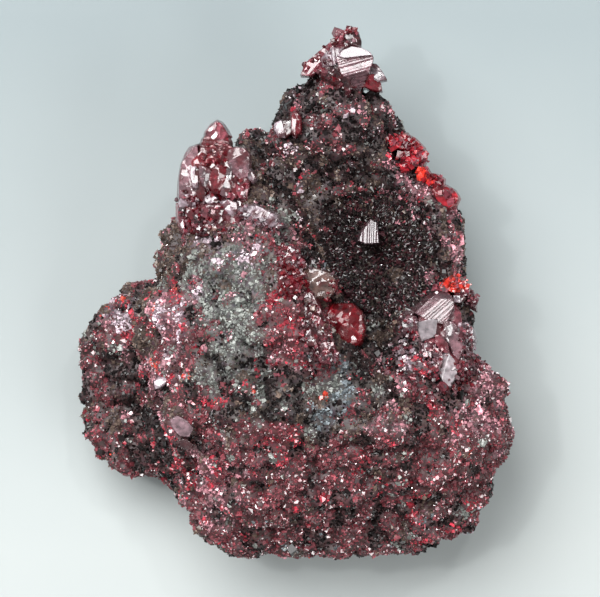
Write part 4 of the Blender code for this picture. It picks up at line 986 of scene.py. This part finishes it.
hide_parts("centre_crystal_cluster")
add_granules("centre_granules", [
    ([(-1.15, 3.45), (-0.55, 3.3), (-1.15, 2.65), (-0.4, 2.35), (0.25, 2.5)], 18, 0.3, 0.13,
      [DEEP, DEEP, WINE, ROSE, SHELL_AND_PAINTED_SHEEN]),
    ([(-1.15, 1.75), (-0.55, 1.15), (-1, 0.4), (-0.1, 0.25), (0.25, 1.15)], 18, 0.32, 0.13,
      [DEEP, CLEAR, WINE, ROSE, CLEAR]),
    ([(0.7, -0.35), (1.15, -0.95), (1.6, -1.55), (1.9, -2.45), (0.25, -0.35)], 14, 0.3, 0.13,
      [DARK, BROWN, WINE, DEEP]),
    ([(0.7, -2.2), (0.85, -3.2), (1.45, -4.1), (2.1, -4.1), (2.55, -4.7), (0.6, -4.55), (0.25, -5),
      (1.15, -5.15)], 16, 0.36, 0.14, [DEEP, WINE, ROSE, DARK, SHELL_AND_PAINTED_SHEEN]),
    ([(-1.9, -3.95), (-1.45, -4.55), (-1.75, -5)], 12, 0.34, 0.13, [DEEP, DEEP, ROSE]),
    ([(2.5, 1.15), (2.95, 0.4), (2.2, -0.2)], 6, 0.2, 0.12, [DEEP, BROWN]),
    ([(-0.4, 2.35), (0.25, 2.05), (1, 2.05), (1.9, 1.9), (2.65, 1.6)], 3, 0.12, 0.1, [PALE_PAINTED_GLINT, SHELL_AND_PAINTED_SHEEN]),
], CENTRE, crystal_finish, seed=44)

# --- Gem crystal ---------------------------------------------------------------------------------
# One round, clear, deep red crystal of cinnabar with many small faces, rooted in the rock below the
# hollow.

GEM = [
    # gem
    crystal([(2.05, -1.55), (2.4, -0.8), (3.25, -0.5), (4.15, -0.65), (4.8, -1.25), (5.05, -2.45),
        (4.75, -3.5), (3.9, -4.05), (2.95, -3.65), (2.35, -2.8)],
        14.3, 1.6, 0.12, [(0.05, -0.12, 1), (0.4, 0.2, 1.15), (-0.45, -0.25, 1.15), (-0.1, 0.6, 1.2)],
        CLEAR, cells=48, chips=20, hillocks=1.6),
]
gem = add_crystals("gem_crystal_dressed", GEM, red_crystal_finish)
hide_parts("gem_crystal")

# --- Right crystal cluster -----------------------------------------------------------------------
# The broadest crystal of cinnabar, with a flat mauve face and a finely ridged one above it, capped by
# orange-red grains, with a pale wedge pointing down and bright crystals at its sides. The mauve of
# the flat face and the wedge's paleness are painted reflection, and the bright crystals' pale colour
# is a painted glint.

RIGHT_CLUSTER = [
    # bed
    crystal([(9.1, -1.7), (10.15, -0.5), (11.35, -0.05), (12.15, -1.25), (12.45, -3.35), (12.05, -5),
        (11.45, -5.9), (10.75, -5.45), (9.55, -3.95)],
        13.25, 2, 0.05, [(0.34, 0.27, 0.7)], ROSE, cells=40, chips=5),
    # ridged
    crystal([(8.75, -1.3), (9.35, -0.65), (10.1, -0.05), (11.05, 0.4), (11.7, -0.2), (11.75, -1.15),
        (11.45, -1.85), (10.75, -2.15), (9.7, -1.9)],
        13.2, 2.6, 0.07, [(0.04, -0.02, 1), (0.1, 0.75, 1.6), (0.5, -0.1, 1.7)], SHELL_AND_PAINTED_SHEEN, cells=64,
        steps=((-0.66, 0.75, 0), 0.3, 0.06), chips=3, hillocks=0.15),
    # flat
    crystal([(9.05, -2), (9.95, -1.75), (10.85, -1.85), (11.05, -2.35), (10.9, -2.75), (10.3, -3),
        (10.25, -3.45), (9.35, -3.5), (9.05, -2.75)],
        13.8, 2.8, 0.05, [(0, -0.03, 0.95), (0.2, -0.8, 1.4)], GREY_PAINTED_SHEEN, cells=40, chips=2, hillocks=0.08),
    # stripes
    crystal([(9.1, -3.5), (10.25, -3.45), (10.45, -4.1), (9.95, -4.8), (9.4, -4.2)],
        14.2, 2, 0.1, [(0.2, 0.2, 0.85)], SHELL_AND_PAINTED_SHEEN, cells=30, steps=((-1, 0, 0), 0.3, 0.07), chips=1,
        hillocks=0.2),
    # red
    crystal([(10.25, -2.9), (10.75, -3), (11.2, -3.6), (11.35, -4.35), (10.75, -4.2), (10.3, -3.6)],
        14, 2, 0.05, [(-0.3, -0.2, 0.9)], WINE),
    # rosy
    crystal([(10.85, -1.85), (11.7, -2), (12.2, -2.75), (12.45, -3.8), (12.05, -4.85), (11.45, -4.25),
        (11, -3.2)],
        13.6, 2.8, 0.1, [(0.1, -0.12, 0.9), (-0.4, 0.1, 1)], SHELL_AND_PAINTED_SHEEN, chips=4, hillocks=0.6),
    # wedge
    crystal([(10.45, -4.4), (11.2, -4.2), (11.75, -4.85), (11.9, -5.75), (11.45, -6.8), (11, -6.65),
        (10.55, -5.75)],
        13.9, 2, 0.07, [(0.02, -0.05, 0.85), (-0.5, 0.1, 0.95)], GREY_PAINTED_SHEEN, chips=1, hillocks=0.3),
    # column
    crystal([(10.25, -4.25), (10.75, -4.1), (10.9, -4.7), (10.6, -5.45), (10.25, -5.4), (10.1, -4.85)],
        14.3, 2, 0.1, [(0.1, -0.12, 0.8), (-0.5, -0.2, 0.9)], SHELL_AND_PAINTED_SHEEN, cells=24, chips=2),
    # wedge side
    crystal([(11.7, -4.7), (12.3, -4.65), (12.6, -5.45), (12.15, -6.05), (11.85, -5.6)],
        13.3, 2, 0.09, [(0.2, 0.1, 0.8)], SHELL_AND_PAINTED_SHEEN, cells=20),
    # left gem
    crystal([(7.75, -2), (8.2, -1.45), (8.75, -1.4), (9.2, -1.9), (9.25, -2.9), (8.45, -3.3), (7.85, -2.9)],
        12.3, 2.2, 0.12, [(-0.18, 0.22, 0.9), (0.4, 0.3, 1), (-0.2, -0.5, 1), (0.4, -0.4, 1.05)], SHELL_AND_PAINTED_SHEEN),
    # right column
    crystal([(12.3, -2.05), (12.75, -2.05), (13.2, -2.65), (13.4, -3.45), (13.1, -4.1), (12.6, -4.35),
        (12.35, -3.65)],
        11.4, 2.6, 0.07, [(*WINDOW_LEAN, 1), (0.5, -0.1, 1.1)], PALE_PAINTED_GLINT),
    # shelf
    crystal([(11.35, -2.35), (12, -2.35), (12.35, -2.8), (12.2, -3.35), (11.55, -3.3)],
        13.2, 2.4, 0.1, [(-0.2, -0.15, 0.8)], SHELL_AND_PAINTED_SHEEN, cells=30, steps=((0.1, 1, 0), 0.22, 0.05)),
    # cap
    crystal([(10.85, 0.4), (11.15, 1), (11.7, 1.3), (12.35, 1.15), (12.8, 0.65), (12.6, 0.2), (11.7, 0.2)],
        12.3, 2.2, 0.1, [(-0.2, 0.3, 0.8), (0.3, -0.1, 0.85)], FLAME),
    # cap dark
    crystal([(11.75, 0.2), (12.35, 0.25), (12.6, -0.2), (12.2, -0.55), (11.7, -0.35)],
        12.6, 2.4, 0.09, [(-0.1, 0.1, 0.8)], DARK, cells=20),
    # cap side
    crystal([(12.6, 0.55), (13.05, 0.35), (13.4, -0.25), (13.4, -1), (13.1, -0.8), (12.75, -0.1)],
        11.2, 1.6, 0.09, [(0.3, 0.1, 0.8)], WINE),
]
right_cluster = add_crystals("right_crystal_cluster_dressed", RIGHT_CLUSTER, crystal_finish)
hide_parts("right_crystal_cluster")
add_granules("right_granules", [
    ([(11.2, 0.8), (11.7, 0.95), (12.15, 0.85), (12.5, 0.65)], 20, 0.24, 0.13, [FLAME, FLAME, ROSE]),
    ([(10.45, 0.55), (10.85, 0.7)], 10, 0.2, 0.13, [ROSE, SHELL_AND_PAINTED_SHEEN]),
    ([(12.5, 0.25), (12.9, 0.25), (13.2, -0.05), (13.35, -0.35)], 9, 0.22, 0.13, [ROSE, SHELL_AND_PAINTED_SHEEN, WINE]),
    ([(11.9, -0.2)], 4, 0.1, 0.16, [PALE_PAINTED_GLINT, ROSE]),
    ([(12.3, -2.6), (12.5, -3.2), (12.75, -3.75), (12.5, -4.25), (12.9, -2.75)], 12, 0.28, 0.13,
      [SHELL_AND_PAINTED_SHEEN, ROSE, PALE_PAINTED_GLINT, WINE]),
    ([(10, -3.8), (10.45, -4.4), (10, -5.15), (10.4, -6.05), (12, -5.45), (12.2, -6.05), (11.7, -6.8),
      (10.85, -6.95)], 12, 0.2, 0.14, [ROSE, WINE, DEEP, SHELL_AND_PAINTED_SHEEN]),
    ([(8.05, -1.7), (8.5, -2), (7.9, -2.6), (8.5, -2.9)], 8, 0.24, 0.13, [SHELL_AND_PAINTED_SHEEN, DEEP, PALE_PAINTED_GLINT]),
    ([(7.45, -4.1), (7.9, -3.95), (8.5, -4.25), (9.1, -4.7), (9.55, -5.3)], 12, 0.3, 0.12,
      [PALE_PAINTED_GLINT, ROSE, SHELL_AND_PAINTED_SHEEN]),
    ([(7.6, -5.45), (8.2, -6.05), (8.65, -6.65), (9.25, -7.1), (9.85, -7.55)], 12, 0.4, 0.12,
      [ROSE, SHELL_AND_PAINTED_SHEEN, WINE, DEEP]),
    ([(12.75, -5), (13.35, -5.6), (12.9, -6.35), (13.65, -5), (12.3, -5.75)], 14, 0.36, 0.13,
      [ROSE, DEEP, SHELL_AND_PAINTED_SHEEN, WINE]),
], RIGHT_CLUSTER, crystal_finish, seed=45)

# --- Flake and spark crystals on the left --------------------------------------------------------
# Two flat mauve faces of cinnabar lie in the red ridge, and one small crystal catches the light
# above them. The upper face's mauve is painted reflection, and the small crystal's pale colour is a
# painted glint.

FLAKE = [
    # flat
    crystal([(-9.4, -9.25), (-8.9, -8.95), (-8.2, -9.3), (-7.7, -9.9), (-8.05, -10.5), (-8.65, -10.45),
        (-9.2, -9.9)],
        13.75, 1.4, 0.05, [(0.03, -0.08, 0.7)], MAUVE_PAINTED_SHEEN, cells=24, chips=0, hillocks=0.1),
    # lower
    crystal([(-8.8, -10.8), (-8.3, -10.65), (-7.75, -11.1), (-8, -11.55), (-8.6, -11.35)],
        13.6, 1.2, 0.05, [(-0.05, -0.05, 0.65)], DARK, cells=20, chips=0, hillocks=0.1),
]
flake = add_crystals("left_flake_dressed", FLAKE, crystal_finish)
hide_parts("left_flake")

SPARK = [
    # spark
    crystal([(-10.7, -6.5), (-10.3, -6.15), (-9.8, -6.05), (-9.7, -6.5), (-10.1, -6.9), (-10.6, -7.05)],
        11.1, 1.4, 0.1, [(*WINDOW_LEAN, 0.6), (0.3, -0.4, 0.75)], PALE_PAINTED_GLINT, cells=22, chips=3),
]
spark = add_crystals("left_spark_dressed", SPARK, crystal_finish)
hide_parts("left_spark_crystal")

# --- Crust in the hollow ------------------------------------------------------------------------
# Tiny brown-black crystals, druse like the rock's own, line the hollow and grew out of it, with one
# bright striated prism of cinnabar standing among them, its brightness painted reflection in a mauve
# colour.

CRUST_X, CRUST_Y = 6.35, 2.9
CRUST_HALF_WIDTH, CRUST_HALF_LENGTH = 3.4, 4.3
CRUST_LIFT = 0.25
CRUST_DEPTH = 1.1
CRUST_CRYSTALS = 9000  # on the bed
CRUST_OUTLIERS = 3500  # and on the rock round it
CRUST_GRAIN = 0.17  # half a middling crystal's length
CRUST_LEAN = 0.5
CRUST_FRINGE = 0.22  # how soon the outer ones thin out, as a share of the crust's reach
CRUST_BED_COLOUR = (0.012, 0.008, 0.009)
CRUST_COLOURS = [(0.012, 0.007, 0.008), (0.040, 0.012, 0.015), (0.026, 0.021, 0.018)]

crust_finish = grain_material("dark_druse", roughness=0.12, ior=1.6)

# The bed is a flat oval cushion: the rock's height plus the ball's, which is scaled by its lift above
# the middle and by its depth below it.
directions, faces = ball_grid(40)
oval_x = CRUST_X + directions[:, 0] * CRUST_HALF_WIDTH
oval_y = CRUST_Y + directions[:, 1] * CRUST_HALF_LENGTH
swell = np.where(directions[:, 2] > 0, CRUST_LIFT, CRUST_DEPTH) * directions[:, 2]
bed_points = np.stack([oval_x, oval_y, face_height(oval_x, oval_y) + swell], axis=1)
bed_colours = np.tile(CRUST_BED_COLOUR, (len(bed_points), 1))
crust_bed = add_mesh("hollow_crust_bed", bed_points, faces, crust_finish, colours=bed_colours)
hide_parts("hollow_crust")


def bed_top(middle, outward):
    """Crystals stand all over the top of the bed and none on its underside."""
    return (outward[:, 2] > 0.05) * 1.0


def around_hollow(middle, outward):
    """Crystals thin out round the crust: exp(-((distance from its middle / its reach - 1) / fringe)
    squared), and none grow on the underside."""
    across = (middle[:, 0] - CRUST_X) / CRUST_HALF_WIDTH
    along = (middle[:, 1] - CRUST_Y) / CRUST_HALF_LENGTH
    out = np.hypot(across, along)
    return np.exp(-(((out - 1.0) / CRUST_FRINGE) ** 2)) * (middle[:, 2] > UPPER_Z)


rng = np.random.default_rng(31)
inner = scattered(rng, CRUST_CRYSTALS, bed_points, faces, bed_top)
outer = scattered(rng, CRUST_OUTLIERS, rock, rock_faces, around_hollow)
place, crust_outward = (np.concatenate(pair) for pair in zip(inner, outer))
size = CRUST_GRAIN * np.exp(0.35 * rng.normal(size=len(place)))
slim = 0.5 + 0.2 * rng.random(len(place))
template = spindle_corners(6)
points, crystal_faces = grown_grains(place, crust_outward, size, slim, CRUST_LEAN, template, rng)
colour = np.array(CRUST_COLOURS)[rng.integers(len(CRUST_COLOURS), size=len(place))]
colour *= np.exp(0.6 * rng.normal(size=len(place)))[:, None]
colours = np.repeat(colour, len(template[0]), axis=0)
crust = add_mesh(
    "hollow_crust_crystals", points, crystal_faces, crust_finish, smooth=False, colours=colours
)

HOLLOW_PRISM = [
    # prism
    crystal([(4.45, 4.2), (4.9, 4.8), (5.2, 5.55), (5.5, 5.75), (6.05, 5.45), (6.15, 3.95), (5.2, 3.9)],
        8, 1.8, 0.05, [(0.1, 0.22, 0.9)], MAUVE_PAINTED_SHEEN, cells=60, steps=((-1, 0.03, 0), 0.26, 0.05), chips=0,
        hillocks=0.1),
]
add_crystals("hollow_prism_dressed", HOLLOW_PRISM, crystal_finish)

# --- Table and light ----------------------------------------------------------------------------
# A pale table, its colour painted darker beyond the summit and lighter at the rounded end as painted
# shade and light, in a room that is brighter to the upper left, under a large window lamp there, a
# fill lamp, and two small lamps for glints.

TABLE_PAINTED_SHADE = (0.248, 0.290, 0.300, 1.0)  # painted shade, beyond the summit
TABLE_PAINTED_LIGHT = (0.415, 0.445, 0.437, 1.0)  # painted light, at the rounded end
TABLE_REACH = 2.0  # metres from the middle to each side
ROOM_COLOUR = (0.93, 0.97, 1.0, 1.0)
BRIGHT_SIDE = (-0.55, 0.60, 0.58)  # towards the brightest part of the room

table_finish, nodes, shader = new_material("pale_table")
place = add_node(nodes, "TexCoord")["Object"]
# Painted shade and light: the table's colour sweeps from the painted shade beyond the summit to the painted
# light at the rounded end, shaken a little by a smudge of noise.
far = add_node(nodes, "SeparateXYZ", {"Vector": place})["Y"]
smudge = add_node(nodes, "TexNoise", {"Vector": place, "Scale": 60.0, "Detail": 4.0})["Fac"]
painted_light_share = add_node(nodes, "MapRange", {"Value": far, "From Min": 0.022, "From Max": -0.020})["Result"]
blend = add_node(nodes, "Math", {0: smudge, 1: 0.22, 2: -0.11}, operation="MULTIPLY_ADD")["Value"]
sweep = add_node(nodes, "Math", {0: painted_light_share, 1: blend}, operation="ADD")["Value"]
sockets = {"Factor": sweep, "A": TABLE_PAINTED_SHADE, "B": TABLE_PAINTED_LIGHT}
shade = add_node(nodes, "Mix", sockets, data_type="RGBA")["Result"]
feed(shader, {"Base Color": shade, "Roughness": 0.6})
corners = [(x * TABLE_REACH, y * TABLE_REACH, 0.0) for x, y in ((-1, -1), (1, -1), (1, 1), (-1, 1))]
table_mesh = bpy.data.meshes.new("table")
table_mesh.from_pydata(corners, [], [(0, 1, 2, 3)])
table_mesh.materials.append(table_finish)
table = bpy.data.objects.new("table", table_mesh)
bpy.context.scene.collection.objects.link(table)

world = bpy.data.worlds.new("soft_room")
bpy.context.scene.world = world
world.use_nodes = True
nodes = world.node_tree.nodes
seen = add_node(nodes, "TexCoord")["Generated"]
side = add_node(nodes, "VectorMath", {0: seen, 1: BRIGHT_SIDE}, operation="DOT_PRODUCT")["Value"]
sockets = {"Value": side, "From Min": -0.7, "From Max": 1.0, "To Min": 0.06, "To Max": 0.57}
fade = add_node(nodes, "MapRange", sockets)["Result"]
feed(nodes["Background"], {"Color": ROOM_COLOUR, "Strength": fade})

# Lamps: (x, y, z in metres; side in metres; watts).
LAMPS = {
    "window": ((-0.16, 0.20, 0.40), 0.36, 3.45),
    "fill": ((0.35, -0.25, 0.35), 0.30, 1.75),
    "glint_left": ((-0.16, 0.05, 0.40), 0.02, 0.25),
    "glint_right": ((0.10, 0.18, 0.38), 0.02, 0.2),
}
for name, (spot, side, watts) in LAMPS.items():
    lamp_data = bpy.data.lights.new(name, "AREA")
    lamp_data.size = side
    lamp_data.energy = watts
    lamp = bpy.data.objects.new(name, lamp_data)
    lamp.location = spot
    lamp.rotation_euler = Vector(spot).to_track_quat("Z", "Y").to_euler()
    bpy.context.scene.collection.objects.link(lamp)

bpy.context.scene.view_settings.view_transform = "Standard"
